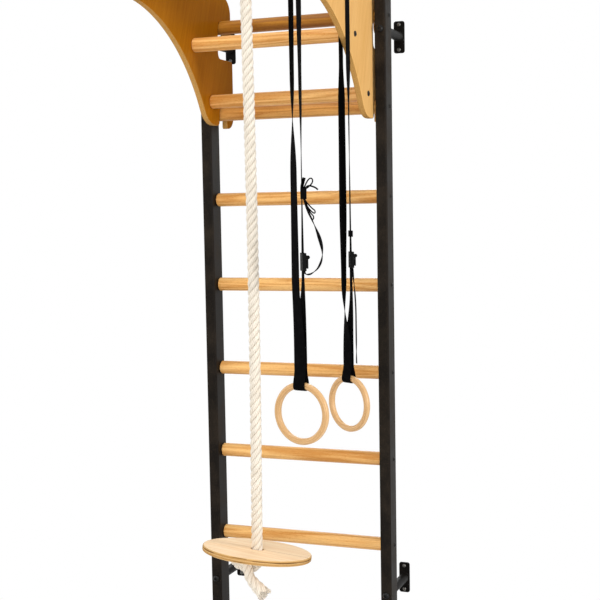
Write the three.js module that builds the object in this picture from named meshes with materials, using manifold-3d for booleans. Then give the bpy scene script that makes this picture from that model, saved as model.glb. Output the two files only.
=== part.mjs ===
// Wall bars with steel posts and wooden rungs, and a hook-on pull-up arch that carries a climbing
// rope with a disc seat and a pair of gym rings on webbing straps.
// Millimetres. The origin lies on the wall plane at floor level, midway between the two posts.
// +X runs to the right, +Y into the wall and +Z up, so every piece lies at zero Y or less.

import * as THREE from 'three';
import { mergeVertices } from 'three/addons/utils/BufferGeometryUtils.js';
import Module from 'manifold-3d';

const wasm = await Module();
wasm.setup();

// Frame
const FRAME_WIDTH = 670;
const WALL_TO_POST = 155;
const FIT = 0.3;

// Posts of rectangular steel tube
const POST_WIDTH = 38;
const POST_DEPTH = 70;
const POST_WALL = 2.5;
const POST_CORNER = 5;
const CAP_HEIGHT = 4;
const FOOT_HEIGHT = 8;
const PLUG_LENGTH = 22;

// Round wooden rungs
const RUNG_COUNT = 8;
const RUNG_DIAMETER = 46;
const RUNG_PITCH = 295;
const LOWEST_RUNG = 155;
const ABOVE_TOP_RUNG = 80;
const RUNG_SETBACK = 46;
const EDGE_ROUND = 2;
const POST_SCREW_HOLE = 8.6;

// Wall brackets
const BRACKET_DROP = 48;
const BRACKET_RISE = 130;
const PLATE_WIDTH = 38;
const PLATE_HEIGHT = 108;
const PLATE_THICKNESS = 5;
const PLATE_CORNER = 8;
const STANDOFF_DIAMETER = 32;
const WALL_SCREW_SPACING = 84;
const WALL_SCREW_DIAMETER = 7;
const WALL_SCREW_HEAD = 13;
const WALL_SCREW_HEAD_HEIGHT = 4.5;
const BRACKET_BOLT_DIAMETER = 10;
const BRACKET_BOLT_HEAD = 23;
const BRACKET_BOLT_HEAD_HEIGHT = 8;
const BRACKET_BOLT_GRIP = 28;
const BORE_END_ROOM = 2;
const HEAD_CROWN_SHARE = 0.6;
const HEAD_SHOULDER_SHARE = 0.9;
const HEAD_RIM_SHARE = 0.35;

// Side plates of the pull-up arch
const SIDE_THICKNESS = 20;
const SIDE_TO_POST = 8;
const SIDE_EDGE_ROUND = 3;
const HOOK_SLOT = 62;
const HOOK_SEAT_GAP = 0.4;
const MOUTH_CENTRE_DROP = 79;
const MOUTH_HEIGHT = 55;
const MOUTH_CORNER = 20;
const HOOK_PRONG_WIDTH = 45;
const BACK_EDGE_SETBACK = 86;
const BACK_EDGE_CORNER = 12;
const FORK_TOP_RISE = 29;
const FORK_FRONT_DROP = 41;
const FORK_BACK_DROP = 47;
const FORK_BACK_CORNER = 44;
const FORK_INNER_CORNER = 6;
const FORK_FRONT_CORNER = 14;
const FORK_TIP_RADIUS = 90;
const FORK_TIP_FLAT = 23.5;
const LOBE_SETBACK = 19;
const LOBE_RISE = 52;
const ARM_DEPTH = 114;
const ARC_APEX_BEHIND_NOSE = 46;
const NOSE_BEYOND_STRAP = 12;
const TOP_EDGE_RADIUS = 3500;

// Stays and pull-up bar between the side plates
const STAY_DIAMETER = 46;
const UPPER_STAY_FORWARD = 221;
const UPPER_STAY_DROP = 85;
const LOWER_STAY_FORWARD = 93;
const LOWER_STAY_RISE = 36;
const BAR_FORWARD = 656;
const BAR_RISE = 68;
const STAY_BOLT_DIAMETER = 8;
const STAY_BOLT_HEAD = 18;
const STAY_BOLT_HEAD_HEIGHT = 4;
const STAY_BOLT_LENGTH = 62;
const PILOT_END_ROOM = 4;

// Rope with its eye, collar and stopper knot
const ROPE_X = 109;
const ROPE_DIAMETER = 34;
const EYE_GAP = 0.5;
const COLLAR_DIAMETER = 50;
const COLLAR_LENGTH = 40;
const COLLAR_DROP = 54;
const SEAT_DROP = 1704;
const KNOT_HALF_WIDTH = 46;
const KNOT_HALF_DEPTH = 40;
const KNOT_HALF_HEIGHT = 42;
const KNOT_SHIFT = 34;
const KNOT_SINK_SHARE = 0.6;
const TAIL_REACH = 46;
const TAIL_DROP = 102;
const TAIL_END_DIAMETER = 46;

// Disc seat
const SEAT_DIAMETER = 324;
const SEAT_THICKNESS = 18;
const SEAT_EDGE_ROUND = 5;
const SEAT_HOLE_GAP = 3;
const SEAT_TILT_FORE = 7.4;
const SEAT_TILT_SIDE = 4.9;

// Gym rings on their straps
const RING_DIAMETER = 181;
const RING_TUBE = 20;
const STRAP_WIDTH = 38;
const STRAP_THICKNESS = 2;
const STRAP_FACE_GAP = 0.4;
const STRAP_PARALLEL = 60;
const LEGS_CLOSE_FROM = 0.72;
const LEGS_CLOSED_AT = 0.92;
const LEGS_CLOSED_OFFSET = 4;
const LOOP_SPREAD_RISE = 45;
const SADDLE_SWING_GAP = 0.8;
const RING_LOOP_GAP = 1.5;
const RING_LOOP_SAG = 2;
const FRONT_STRAP = {
  name: 'front',
  stayGap: 13,
  ringDrop: 1206,
  ringTurn: -12,
  buckleDrop: 777,
  outerTwist: [[0, -90], [0.2, -82], [0.45, -67], [0.7, -59], [0.93, -12], [1, -12]],
  innerTwist: [[0, -90], [0.2, -86], [0.45, -42], [0.75, -36], [0.93, -12], [1, -12]],
};
const REAR_STRAP = {
  name: 'rear',
  stayGap: 32,
  ringDrop: 1241,
  ringTurn: -28,
  buckleDrop: 788,
  outerTwist: [[0, -90], [0.15, -76], [0.45, -66], [0.7, -60], [0.93, -28], [1, -28]],
  innerTwist: [[0, -90], [0.12, -103], [0.45, -106], [0.68, -95], [0.93, -28], [1, -28]],
};

// Strap buckles and loose strap ends
const BUCKLE_WIDTH = 46;
const BUCKLE_HEIGHT = 50;
const BUCKLE_DEPTH = 11;
const BUCKLE_SLOT = 4.2;
const BUCKLE_SLOT_WIDTH = 39.6;
const BUCKLE_BACK = 2;
const LEVER_WIDTH = 32;
const LEVER_BARREL = 9;
const LEVER_LENGTH = 32;
const LEVER_BLADE = 3;
const LEVER_PIN_RISE = 13;
const EAR_THICKNESS = 3;
const EAR_GAP = 0.5;
const EAR_RIM = 1;
const TAIL_LENGTH_HANGING = 300;
const TAIL_START = 3.9;
const TAIL_OFFSET = 14;
const BOW_TIE_RISE = 180;
const BOW_EASE = 0.8;
const BOW_TWIST = -19;
const REAR_TAIL_TWIST = [[0, 0], [0.3, -16], [0.75, -16], [1, -6]];
const FRONT_TAIL_BOW = [
  [TAIL_START, -2 * FIT], [TAIL_START + BOW_EASE, -6], [12, -11], [26, -7], [44, 8], [55, 34],
  [55, 64], [45, 102], [31, 136], [16, 170], [8, 200],
];

// Facets of round shapes
const ROUND_SEGMENTS = 20;
const SMALL_SEGMENTS = 12;
const SEAT_SEGMENTS = 44;
const RING_SEGMENTS = 36;
const RING_TUBE_SEGMENTS = 12;
const WIDE_SEGMENTS = 24;
const CORNER_SEGMENTS = 2;
const OUTLINE_SEGMENTS = 5;
const ROPE_SIDES = 10;
const ROPE_STEPS = 20;
const EYE_SEGMENTS = 22;
const KNOT_SEGMENTS = 14;
const KNOT_ROWS = 10;
const TAIL_ROWS = 3;
const LEG_STEPS = 48;
const LOOP_STEPS = 8;
const SADDLE_STEPS = 5;
const BOW_STEPS = 22;
const TAIL_STEPS = 16;

// Values that follow from the sizes above
const POST_X = (FRAME_WIDTH - POST_WIDTH) / 2;
const POST_BACK_Y = -WALL_TO_POST;
const POST_FRONT_Y = -WALL_TO_POST - POST_DEPTH;
const POST_CENTRE_Y = (POST_BACK_Y + POST_FRONT_Y) / 2;
const RUNG_Y = POST_FRONT_Y + RUNG_SETBACK;
const RUNG_RADIUS = RUNG_DIAMETER / 2;
const TOP_RUNG_Z = LOWEST_RUNG + (RUNG_COUNT - 1) * RUNG_PITCH;
const SECOND_RUNG_Z = TOP_RUNG_Z - RUNG_PITCH;
const FRAME_HEIGHT = TOP_RUNG_Z + ABOVE_TOP_RUNG;
const RUNG_LENGTH = FRAME_WIDTH - 2 * POST_WIDTH - 2 * FIT;
const SIDE_OUTER_X = FRAME_WIDTH / 2 - POST_WIDTH - SIDE_TO_POST;
const SIDE_INNER_X = SIDE_OUTER_X - SIDE_THICKNESS;
const SIDE_CENTRE_X = (SIDE_OUTER_X + SIDE_INNER_X) / 2;
const STAY_LENGTH = 2 * SIDE_INNER_X - 2 * FIT;
const BAR_Y = RUNG_Y - BAR_FORWARD;
const BAR_Z = TOP_RUNG_Z + BAR_RISE;
const ARM_LOWER_Z = BAR_Z - ARM_DEPTH / 2;
const STAY_TO_STRAP = STAY_DIAMETER / 2 + STRAP_WIDTH / 2;
const FRONT_STRAP_Y = BAR_Y - STAY_TO_STRAP - FRONT_STRAP.stayGap;
const REAR_STRAP_Y = RUNG_Y - UPPER_STAY_FORWARD - STAY_TO_STRAP - REAR_STRAP.stayGap;
const NOSE_Y = FRONT_STRAP_Y - NOSE_BEYOND_STRAP;
const ARC_Y = NOSE_Y + ARC_APEX_BEHIND_NOSE;
const FORK_FRONT_Z = SECOND_RUNG_Z - FORK_FRONT_DROP;
const TIP_Y = RUNG_Y - HOOK_SLOT / 2 - FORK_FRONT_CORNER - FORK_TIP_FLAT;
const TIP_Z = FORK_FRONT_Z + FORK_TIP_RADIUS;
const ARC_RADIUS = arcBetween(TIP_Y - ARC_Y, ARM_LOWER_Z - TIP_Z, FORK_TIP_RADIUS);
const ARC_Z = ARM_LOWER_Z - ARC_RADIUS;
const RING_RADIUS = (RING_DIAMETER - RING_TUBE) / 2;
const LEG_OFFSET = SIDE_THICKNESS / 2 + STRAP_FACE_GAP + STRAP_THICKNESS / 2;
const LEG_SPREAD = [[0, LEG_OFFSET], [LEGS_CLOSE_FROM, LEG_OFFSET], [LEGS_CLOSED_AT, LEGS_CLOSED_OFFSET]];

// Radius of the arm's lower arc, which leaves the arm's level edge and runs into the fork's round
// tip: the tip's centre lies the given way behind and below the point where the arc starts.
function arcBetween(behind, below, tipRadius) {
  return (behind ** 2 + below ** 2 - tipRadius ** 2) / (2 * (tipRadius + below));
}

const DEGREE = Math.PI / 180;
const COLOURS = {
  steel: 0x2a2725,
  plastic: 0x151515,
  bolt: 0x111111,
  zinc: 0x8d8d8a,
  beech: 0xd9a066,
  plywood: 0xd2a46c,
  birch: 0xecd3aa,
  rope: 0xe6dfcf,
  ring: 0xe8cfa4,
  webbing: 0x1b1b1d,
};

const assembly = new THREE.Group();
assembly.name = 'wall_bars';

function place(name, geometry, colour, metalness, roughness) {
  const material = new THREE.MeshStandardMaterial({ color: COLOURS[colour], metalness, roughness });
  const piece = new THREE.Mesh(geometry, material);
  piece.name = name;
  assembly.add(piece);
  return piece;
}

function solidOf(geometry) {
  const bare = geometry.clone();
  bare.deleteAttribute('normal');
  bare.deleteAttribute('uv');
  const merged = mergeVertices(bare, 1e-4);
  const vertProperties = new Float32Array(merged.attributes.position.array);
  const triVerts = new Uint32Array(merged.index.array);
  return new wasm.Manifold(new wasm.Mesh({ numProp: 3, vertProperties, triVerts }));
}

function geometryOf(solid) {
  const mesh = solid.getMesh();
  const geometry = new THREE.BufferGeometry();
  geometry.setAttribute('position', new THREE.BufferAttribute(mesh.vertProperties, 3));
  geometry.setIndex(new THREE.BufferAttribute(mesh.triVerts, 1));
  geometry.computeVertexNormals();
  return geometry;
}

function cut(geometry, tools) {
  let solid = solidOf(geometry);
  for (const tool of tools) {
    solid = solid.subtract(solidOf(tool));
  }
  return geometryOf(solid);
}

function join(geometries) {
  let solid = solidOf(geometries[0]);
  for (const geometry of geometries.slice(1)) {
    solid = solid.add(solidOf(geometry));
  }
  return geometryOf(solid);
}

function roundedRectangle(width, height, radius) {
  const w = width / 2;
  const h = height / 2;
  const shape = new THREE.Shape();
  shape.moveTo(-w + radius, -h);
  shape.lineTo(w - radius, -h);
  shape.absarc(w - radius, -h + radius, radius, -Math.PI / 2, 0, false);
  shape.lineTo(w, h - radius);
  shape.absarc(w - radius, h - radius, radius, 0, Math.PI / 2, false);
  shape.lineTo(-w + radius, h);
  shape.absarc(-w + radius, h - radius, radius, Math.PI / 2, Math.PI, false);
  shape.lineTo(-w, -h + radius);
  shape.absarc(-w + radius, -h + radius, radius, Math.PI, 1.5 * Math.PI, false);
  return shape;
}

function slab(shape, depth) {
  return new THREE.ExtrudeGeometry(shape, { depth, bevelEnabled: false, curveSegments: CORNER_SEGMENTS });
}

function turned(points, segments) {
  const profile = points.map(([radius, along]) => new THREE.Vector2(radius, along));
  return new THREE.LatheGeometry(profile, segments);
}

function rodAlongX(radius, length, segments) {
  return new THREE.CylinderGeometry(radius, radius, length, segments).rotateZ(-Math.PI / 2);
}

function rodAlongY(radius, length, segments) {
  return new THREE.CylinderGeometry(radius, radius, length, segments);
}

// A round wooden bar along X with eased ends, and a blind hole in each end where a bolt goes in.
function woodenBar(diameter, length, holeDiameter, holeDepth) {
  const r = diameter / 2;
  const p = holeDiameter / 2;
  const h = length / 2;
  const outside = [[r - EDGE_ROUND, -h], [r, EDGE_ROUND - h], [r, h - EDGE_ROUND], [r - EDGE_ROUND, h]];
  const start = p > 0 ? [[0, -h + holeDepth], [p, -h + holeDepth], [p, -h]] : [[0, -h]];
  const end = p > 0 ? [[p, h], [p, h - holeDepth], [0, h - holeDepth]] : [[0, h]];
  return turned([...start, ...outside, ...end], ROUND_SEGMENTS).rotateZ(-Math.PI / 2);
}

// A screw or bolt along Y: domed head of the given height before y = 0, shank behind it.
function headedBolt(headDiameter, headHeight, shankDiameter, shankLength) {
  const head = headDiameter / 2;
  const shank = shankDiameter / 2;
  const profile = [
    [0, -headHeight],
    [head * HEAD_CROWN_SHARE, -headHeight * HEAD_SHOULDER_SHARE],
    [head, -headHeight * HEAD_RIM_SHARE],
    [head, 0],
    [shank, 0],
    [shank, shankLength],
    [0, shankLength],
  ];
  return turned(profile, SMALL_SEGMENTS);
}

// Posts: hollow tube, drilled through sideways for the rung screws and front to back for the
// bracket bolts, closed by a plug cap above and a plug foot below.
const bracketLevels = [['upper', TOP_RUNG_Z - BRACKET_DROP], ['lower', LOWEST_RUNG + BRACKET_RISE]];
const sides = [['left', -1], ['right', 1]];

function rungHeight(index) {
  return TOP_RUNG_Z - index * RUNG_PITCH;
}

function plug(flangeHeight, upward) {
  const flange = slab(roundedRectangle(POST_WIDTH, POST_DEPTH, POST_CORNER), flangeHeight);
  const innerWidth = POST_WIDTH - 2 * POST_WALL - 2 * FIT;
  const innerDepth = POST_DEPTH - 2 * POST_WALL - 2 * FIT;
  const innerCorner = POST_CORNER - POST_WALL;
  const stem = slab(roundedRectangle(innerWidth, innerDepth, innerCorner), PLUG_LENGTH + flangeHeight / 2);
  stem.translate(0, 0, upward ? flangeHeight / 2 : -PLUG_LENGTH);
  return join([flange, stem]);
}

for (const [side, sign] of sides) {
  const profile = roundedRectangle(POST_WIDTH, POST_DEPTH, POST_CORNER);
  const boreWidth = POST_WIDTH - 2 * POST_WALL;
  const boreDepth = POST_DEPTH - 2 * POST_WALL;
  const bore = roundedRectangle(boreWidth, boreDepth, POST_CORNER - POST_WALL);
  profile.holes.push(bore);
  const tubeBottom = FOOT_HEIGHT + FIT;
  const tube = slab(profile, FRAME_HEIGHT - CAP_HEIGHT - FIT - tubeBottom);
  tube.translate(sign * POST_X, POST_CENTRE_Y, tubeBottom);
  const drills = [];
  for (let index = 0; index < RUNG_COUNT; index += 1) {
    const drill = rodAlongX(POST_SCREW_HOLE / 2, 2 * POST_WIDTH, SMALL_SEGMENTS);
    drills.push(drill.translate(sign * POST_X, RUNG_Y, rungHeight(index)));
  }
  for (const [, level] of bracketLevels) {
    const drill = rodAlongY(BRACKET_BOLT_DIAMETER / 2 + FIT, 2 * POST_DEPTH, SMALL_SEGMENTS);
    drills.push(drill.translate(sign * POST_X, POST_CENTRE_Y, level));
  }
  place(`${side}_post`, cut(tube, drills), 'steel', 0.3, 0.5);

  const cap = plug(CAP_HEIGHT, false);
  cap.translate(sign * POST_X, POST_CENTRE_Y, FRAME_HEIGHT - CAP_HEIGHT);
  place(`${side}_post_cap`, cap, 'plastic', 0, 0.5);

  const foot = plug(FOOT_HEIGHT, true);
  foot.translate(sign * POST_X, POST_CENTRE_Y, 0);
  place(`${side}_post_foot`, foot, 'plastic', 0, 0.6);
}

// Rungs: beech dowels between the posts' inner faces, numbered from the top.
for (let index = 0; index < RUNG_COUNT; index += 1) {
  const rung = woodenBar(RUNG_DIAMETER, RUNG_LENGTH, 0, 0);
  rung.translate(0, RUNG_Y, rungHeight(index));
  place(`rung_${index + 1}`, rung, 'beech', 0, 0.45);
}

// Wall brackets: a wall plate welded to a round standoff that is bolted to the post's back.
for (const [level, z] of bracketLevels) {
  for (const [side, sign] of sides) {
    const x = sign * POST_X;
    const plate = slab(roundedRectangle(PLATE_WIDTH, PLATE_HEIGHT, PLATE_CORNER), PLATE_THICKNESS);
    plate.rotateX(Math.PI / 2);
    const overlap = PLATE_THICKNESS / 2;
    const standoffLength = WALL_TO_POST - FIT - overlap;
    const standoff = rodAlongY(STANDOFF_DIAMETER / 2, standoffLength, WIDE_SEGMENTS);
    standoff.translate(0, -overlap - standoffLength / 2, 0);
    const boreLength = 2 * (BRACKET_BOLT_GRIP + BORE_END_ROOM);
    const boltBore = rodAlongY(BRACKET_BOLT_DIAMETER / 2 + FIT, boreLength, SMALL_SEGMENTS);
    boltBore.translate(0, POST_BACK_Y, 0);
    const drills = [boltBore];
    for (const end of [-1, 1]) {
      const drill = rodAlongY(WALL_SCREW_DIAMETER / 2 + FIT, 4 * PLATE_THICKNESS, SMALL_SEGMENTS);
      drills.push(drill.translate(0, 0, end * WALL_SCREW_SPACING / 2));
    }
    const bracket = cut(join([plate, standoff]), drills);
    bracket.translate(x, 0, z);
    place(`${level}_${side}_bracket`, bracket, 'steel', 0.3, 0.5);

    const boltLength = POST_DEPTH + BRACKET_BOLT_GRIP;
    const bolt = headedBolt(BRACKET_BOLT_HEAD, BRACKET_BOLT_HEAD_HEIGHT, BRACKET_BOLT_DIAMETER, boltLength);
    bolt.translate(x, POST_FRONT_Y - FIT, z);
    place(`${level}_${side}_bracket_bolt`, bolt, 'bolt', 0.6, 0.4);

    for (const [row, end] of [['upper', 1], ['lower', -1]]) {
      const shank = PLATE_THICKNESS - FIT;
      const screw = headedBolt(WALL_SCREW_HEAD, WALL_SCREW_HEAD_HEIGHT, WALL_SCREW_DIAMETER, shank);
      screw.translate(x, -PLATE_THICKNESS - FIT, z + end * WALL_SCREW_SPACING / 2);
      place(`${level}_${side}_${row}_wall_screw`, screw, 'zinc', 0.9, 0.35);
    }
  }
}

// Side plates of the arch: a hook that drops over the top rung from behind, a fork that
// straddles the second rung, and an arm that sweeps forward over the floor.
const slotFront = RUNG_Y - HOOK_SLOT / 2;
const slotBack = RUNG_Y + HOOK_SLOT / 2;
const slotRadius = HOOK_SLOT / 2;
const hookSeatZ = TOP_RUNG_Z + RUNG_RADIUS + HOOK_SEAT_GAP - slotRadius;
const lobeY = RUNG_Y + LOBE_SETBACK;
const lobeZ = TOP_RUNG_Z + LOBE_RISE;
const hookBackY = slotBack + HOOK_PRONG_WIDTH;
const lobeRadius = hookBackY - lobeY;

// Centre of the long circle that touches the nose circle and the lobe circle from outside.
function topEdgeCentre() {
  const noseReach = TOP_EDGE_RADIUS - ARM_DEPTH / 2;
  const lobeReach = TOP_EDGE_RADIUS - lobeRadius;
  const dy = lobeY - NOSE_Y;
  const dz = lobeZ - BAR_Z;
  const span = Math.hypot(dy, dz);
  const along = (noseReach ** 2 - lobeReach ** 2 + span ** 2) / (2 * span);
  const below = Math.sqrt(noseReach ** 2 - along ** 2);
  const y = NOSE_Y + (along * dy + below * dz) / span;
  const z = BAR_Z + (along * dz - below * dy) / span;
  return { y, z };
}

const topCentre = topEdgeCentre();
const noseTopAngle = Math.atan2(BAR_Z - topCentre.z, NOSE_Y - topCentre.y);
const lobeTopAngle = Math.atan2(lobeZ - topCentre.z, lobeY - topCentre.y);

function topEdgeHeight(y) {
  if (y < NOSE_Y) {
    return BAR_Z + Math.sqrt((ARM_DEPTH / 2) ** 2 - (y - NOSE_Y) ** 2);
  }
  return topCentre.z + Math.sqrt(TOP_EDGE_RADIUS ** 2 - (y - topCentre.y) ** 2);
}

function lowerEdgeHeight(y) {
  if (y < ARC_Y) {
    return ARM_LOWER_Z;
  }
  return ARC_Z + Math.sqrt(ARC_RADIUS ** 2 - (y - ARC_Y) ** 2);
}

function sideOutline() {
  const forkBackZ = SECOND_RUNG_Z - FORK_BACK_DROP;
  const forkSeatZ = SECOND_RUNG_Z + FORK_TOP_RISE - slotRadius;
  const backY = RUNG_Y + BACK_EDGE_SETBACK;
  const mouthLowZ = TOP_RUNG_Z - MOUTH_CENTRE_DROP - MOUTH_HEIGHT / 2;
  const prongRadius = HOOK_PRONG_WIDTH / 2;
  const prongZ = mouthLowZ + MOUTH_HEIGHT + prongRadius;
  const tipAngle = Math.atan2(TIP_Z - ARC_Z, TIP_Y - ARC_Y);
  const half = Math.PI / 2;
  const shape = new THREE.Shape();
  shape.moveTo(TIP_Y, FORK_FRONT_Z);
  shape.lineTo(slotFront - FORK_FRONT_CORNER, FORK_FRONT_Z);
  const frontCornerY = slotFront - FORK_FRONT_CORNER;
  shape.absarc(frontCornerY, FORK_FRONT_Z + FORK_FRONT_CORNER, FORK_FRONT_CORNER, -half, 0, false);
  shape.lineTo(slotFront, forkSeatZ);
  shape.absarc(RUNG_Y, forkSeatZ, slotRadius, Math.PI, 0, true);
  shape.lineTo(slotBack, forkBackZ + FORK_INNER_CORNER);
  const innerCornerZ = forkBackZ + FORK_INNER_CORNER;
  shape.absarc(slotBack + FORK_INNER_CORNER, innerCornerZ, FORK_INNER_CORNER, Math.PI, 3 * half, false);
  shape.lineTo(backY - FORK_BACK_CORNER, forkBackZ);
  shape.absarc(backY - FORK_BACK_CORNER, forkBackZ + FORK_BACK_CORNER, FORK_BACK_CORNER, -half, 0, false);
  shape.lineTo(backY, mouthLowZ - BACK_EDGE_CORNER);
  shape.absarc(backY - BACK_EDGE_CORNER, mouthLowZ - BACK_EDGE_CORNER, BACK_EDGE_CORNER, 0, half, false);
  shape.lineTo(slotFront + MOUTH_CORNER, mouthLowZ);
  shape.absarc(slotFront + MOUTH_CORNER, mouthLowZ + MOUTH_CORNER, MOUTH_CORNER, 3 * half, Math.PI, true);
  shape.lineTo(slotFront, hookSeatZ);
  shape.absarc(RUNG_Y, hookSeatZ, slotRadius, Math.PI, 0, true);
  shape.lineTo(slotBack, prongZ);
  shape.absarc(slotBack + prongRadius, prongZ, prongRadius, Math.PI, 2 * Math.PI, false);
  shape.lineTo(hookBackY, lobeZ);
  shape.absarc(lobeY, lobeZ, lobeRadius, 0, lobeTopAngle, false);
  shape.absarc(topCentre.y, topCentre.z, TOP_EDGE_RADIUS, lobeTopAngle, noseTopAngle, false);
  shape.absarc(NOSE_Y, BAR_Z, ARM_DEPTH / 2, noseTopAngle, 3 * half, false);
  shape.lineTo(ARC_Y, ARM_LOWER_Z);
  shape.absarc(ARC_Y, ARC_Z, ARC_RADIUS, half, tipAngle, true);
  shape.absarc(TIP_Y, TIP_Z, FORK_TIP_RADIUS, tipAngle + Math.PI, 3 * half, false);
  return shape;
}

// Turns a flat outline drawn in the Y-Z plane so that its thickness runs along X.
const OUTLINE_TO_SIDE = new THREE.Matrix4().set(0, 0, 1, 0, 1, 0, 0, 0, 0, 1, 0, 0, 0, 0, 0, 1);

const stays = [
  ['upper_stay', RUNG_Y - UPPER_STAY_FORWARD, TOP_RUNG_Z - UPPER_STAY_DROP],
  ['lower_stay', RUNG_Y - LOWER_STAY_FORWARD, SECOND_RUNG_Z + LOWER_STAY_RISE],
  ['pull_up_bar', BAR_Y, BAR_Z],
];

for (const [side, sign] of sides) {
  const board = new THREE.ExtrudeGeometry(sideOutline(), {
    depth: SIDE_THICKNESS - 2 * SIDE_EDGE_ROUND,
    bevelEnabled: true,
    bevelSize: SIDE_EDGE_ROUND,
    bevelOffset: -SIDE_EDGE_ROUND,
    bevelThickness: SIDE_EDGE_ROUND,
    bevelSegments: 1,
    curveSegments: OUTLINE_SEGMENTS,
  });
  board.translate(0, 0, SIDE_EDGE_ROUND - SIDE_THICKNESS / 2);
  board.applyMatrix4(OUTLINE_TO_SIDE);
  board.translate(sign * SIDE_CENTRE_X, 0, 0);
  const drills = stays.map(([, y, z]) => {
    const drill = rodAlongX(STAY_BOLT_DIAMETER / 2 + FIT, 2 * SIDE_THICKNESS, SMALL_SEGMENTS);
    return drill.translate(sign * SIDE_CENTRE_X, y, z);
  });
  place(`${side}_side_plate`, cut(board, drills), 'plywood', 0, 0.5);
}

// Stays and pull-up bar: dowels between the side plates, each held by a bolt at both ends.
for (const [name, y, z] of stays) {
  const pilotDepth = STAY_BOLT_LENGTH - SIDE_THICKNESS + PILOT_END_ROOM;
  const bar = woodenBar(STAY_DIAMETER, STAY_LENGTH, STAY_BOLT_DIAMETER + 2 * FIT, pilotDepth);
  bar.translate(0, y, z);
  place(name, bar, 'beech', 0, 0.45);
  for (const [side, sign] of sides) {
    const bolt = headedBolt(STAY_BOLT_HEAD, STAY_BOLT_HEAD_HEIGHT, STAY_BOLT_DIAMETER, STAY_BOLT_LENGTH);
    bolt.rotateZ(sign * Math.PI / 2);
    bolt.translate(sign * (SIDE_OUTER_X + FIT), y, z);
    place(`${name}_${side}_bolt`, bolt, 'bolt', 0.6, 0.4);
  }
}

// Rope: an eye spliced around the pull-up bar, a collar that binds the eye, the hanging rope
// and the stopper knot with its brushed-out tail under the seat.
const eyeRadius = STAY_DIAMETER / 2 + EYE_GAP + ROPE_DIAMETER / 2;
const eye = new THREE.TorusGeometry(eyeRadius, ROPE_DIAMETER / 2, ROPE_SIDES, EYE_SEGMENTS);
eye.rotateY(Math.PI / 2);
const collarTop = -COLLAR_DROP;
const collarSeat = rodAlongY(COLLAR_DIAMETER, COLLAR_LENGTH, ROUND_SEGMENTS).rotateX(Math.PI / 2);
collarSeat.translate(0, 0, collarTop - COLLAR_LENGTH / 2);
const trimmedEye = cut(eye, [collarSeat]);
trimmedEye.translate(ROPE_X, BAR_Y, BAR_Z);
place('rope_eye', trimmedEye, 'rope', 0, 0.9);

const collar = rodAlongY(COLLAR_DIAMETER / 2, COLLAR_LENGTH, WIDE_SEGMENTS).rotateX(Math.PI / 2);
collar.translate(ROPE_X, BAR_Y, BAR_Z + collarTop - FIT - COLLAR_LENGTH / 2);
place('rope_collar', collar, 'rope', 0, 0.9);

const seatCentreZ = BAR_Z - SEAT_DROP;
const seatTilt = new THREE.Matrix4().makeRotationFromEuler(
  new THREE.Euler(-SEAT_TILT_FORE * DEGREE, SEAT_TILT_SIDE * DEGREE, 0),
);
const seatPlace = new THREE.Matrix4().makeTranslation(ROPE_X, BAR_Y, seatCentreZ).multiply(seatTilt);
const ropeTop = BAR_Z + collarTop - COLLAR_LENGTH - 2 * FIT;
const seatLean = Math.acos(Math.cos(SEAT_TILT_FORE * DEGREE) * Math.cos(SEAT_TILT_SIDE * DEGREE));
const knotTopZ = seatCentreZ - (SEAT_THICKNESS / 2 + FIT) / Math.cos(seatLean);
const ropeBottom = knotTopZ + ROPE_DIAMETER / 2 * Math.tan(seatLean) + FIT;
const ropeSection = new THREE.Shape();
ropeSection.absarc(0, 0, ROPE_DIAMETER / 2, 0, 2 * Math.PI, false);
const ropePath = new THREE.LineCurve3(
  new THREE.Vector3(ROPE_X, BAR_Y, ropeTop),
  new THREE.Vector3(ROPE_X, BAR_Y, ropeBottom),
);
const ropeTube = new THREE.ExtrudeGeometry(ropeSection, {
  steps: ROPE_STEPS,
  extrudePath: ropePath,
  curveSegments: ROPE_SIDES / 2,
});
place('rope', ropeTube, 'rope', 0, 0.9);

const seatHole = ROPE_DIAMETER / 2 + SEAT_HOLE_GAP;
const seatRadius = SEAT_DIAMETER / 2;
const seatHalf = SEAT_THICKNESS / 2;
const seatRim = seatRadius - SEAT_EDGE_ROUND;
const seatEdge = seatHalf - SEAT_EDGE_ROUND;
const seatProfile = [
  [seatHole, -seatHalf], [seatRim, -seatHalf], [seatRadius, -seatEdge], [seatRadius, seatEdge],
  [seatRim, seatHalf], [seatHole, seatHalf], [seatHole, -seatHalf],
];
const seat = turned(seatProfile, SEAT_SEGMENTS).rotateX(Math.PI / 2);
seat.applyMatrix4(seatPlace);
place('seat', seat, 'birch', 0, 0.5);

const knotBall = new THREE.SphereGeometry(1, KNOT_SEGMENTS, KNOT_ROWS);
knotBall.scale(KNOT_HALF_WIDTH, KNOT_HALF_DEPTH, KNOT_HALF_HEIGHT);
knotBall.translate(-KNOT_SHIFT, 0, -seatHalf - KNOT_HALF_HEIGHT * KNOT_SINK_SHARE);
const tailLength = Math.hypot(TAIL_REACH, TAIL_DROP);
const tailTop = ROPE_DIAMETER / 2;
const tailEnd = TAIL_END_DIAMETER / 2;
const knotTail = new THREE.CylinderGeometry(tailTop, tailEnd, tailLength, SMALL_SEGMENTS, TAIL_ROWS);
knotTail.translate(0, -tailLength / 2, 0);
knotTail.rotateX(Math.PI / 2);
knotTail.rotateY(-Math.atan2(TAIL_REACH, TAIL_DROP));
knotTail.translate(0, 0, -seatHalf - ROPE_DIAMETER / 2);
const underSeat = new THREE.BoxGeometry(2 * SEAT_DIAMETER, 2 * SEAT_DIAMETER, SEAT_DIAMETER);
underSeat.translate(0, 0, -seatHalf - FIT + SEAT_DIAMETER / 2);
const knot = cut(join([knotBall, knotTail]), [underSeat]);
knot.applyMatrix4(seatPlace);
place('rope_knot', knot, 'rope', 0, 0.9);

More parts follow.
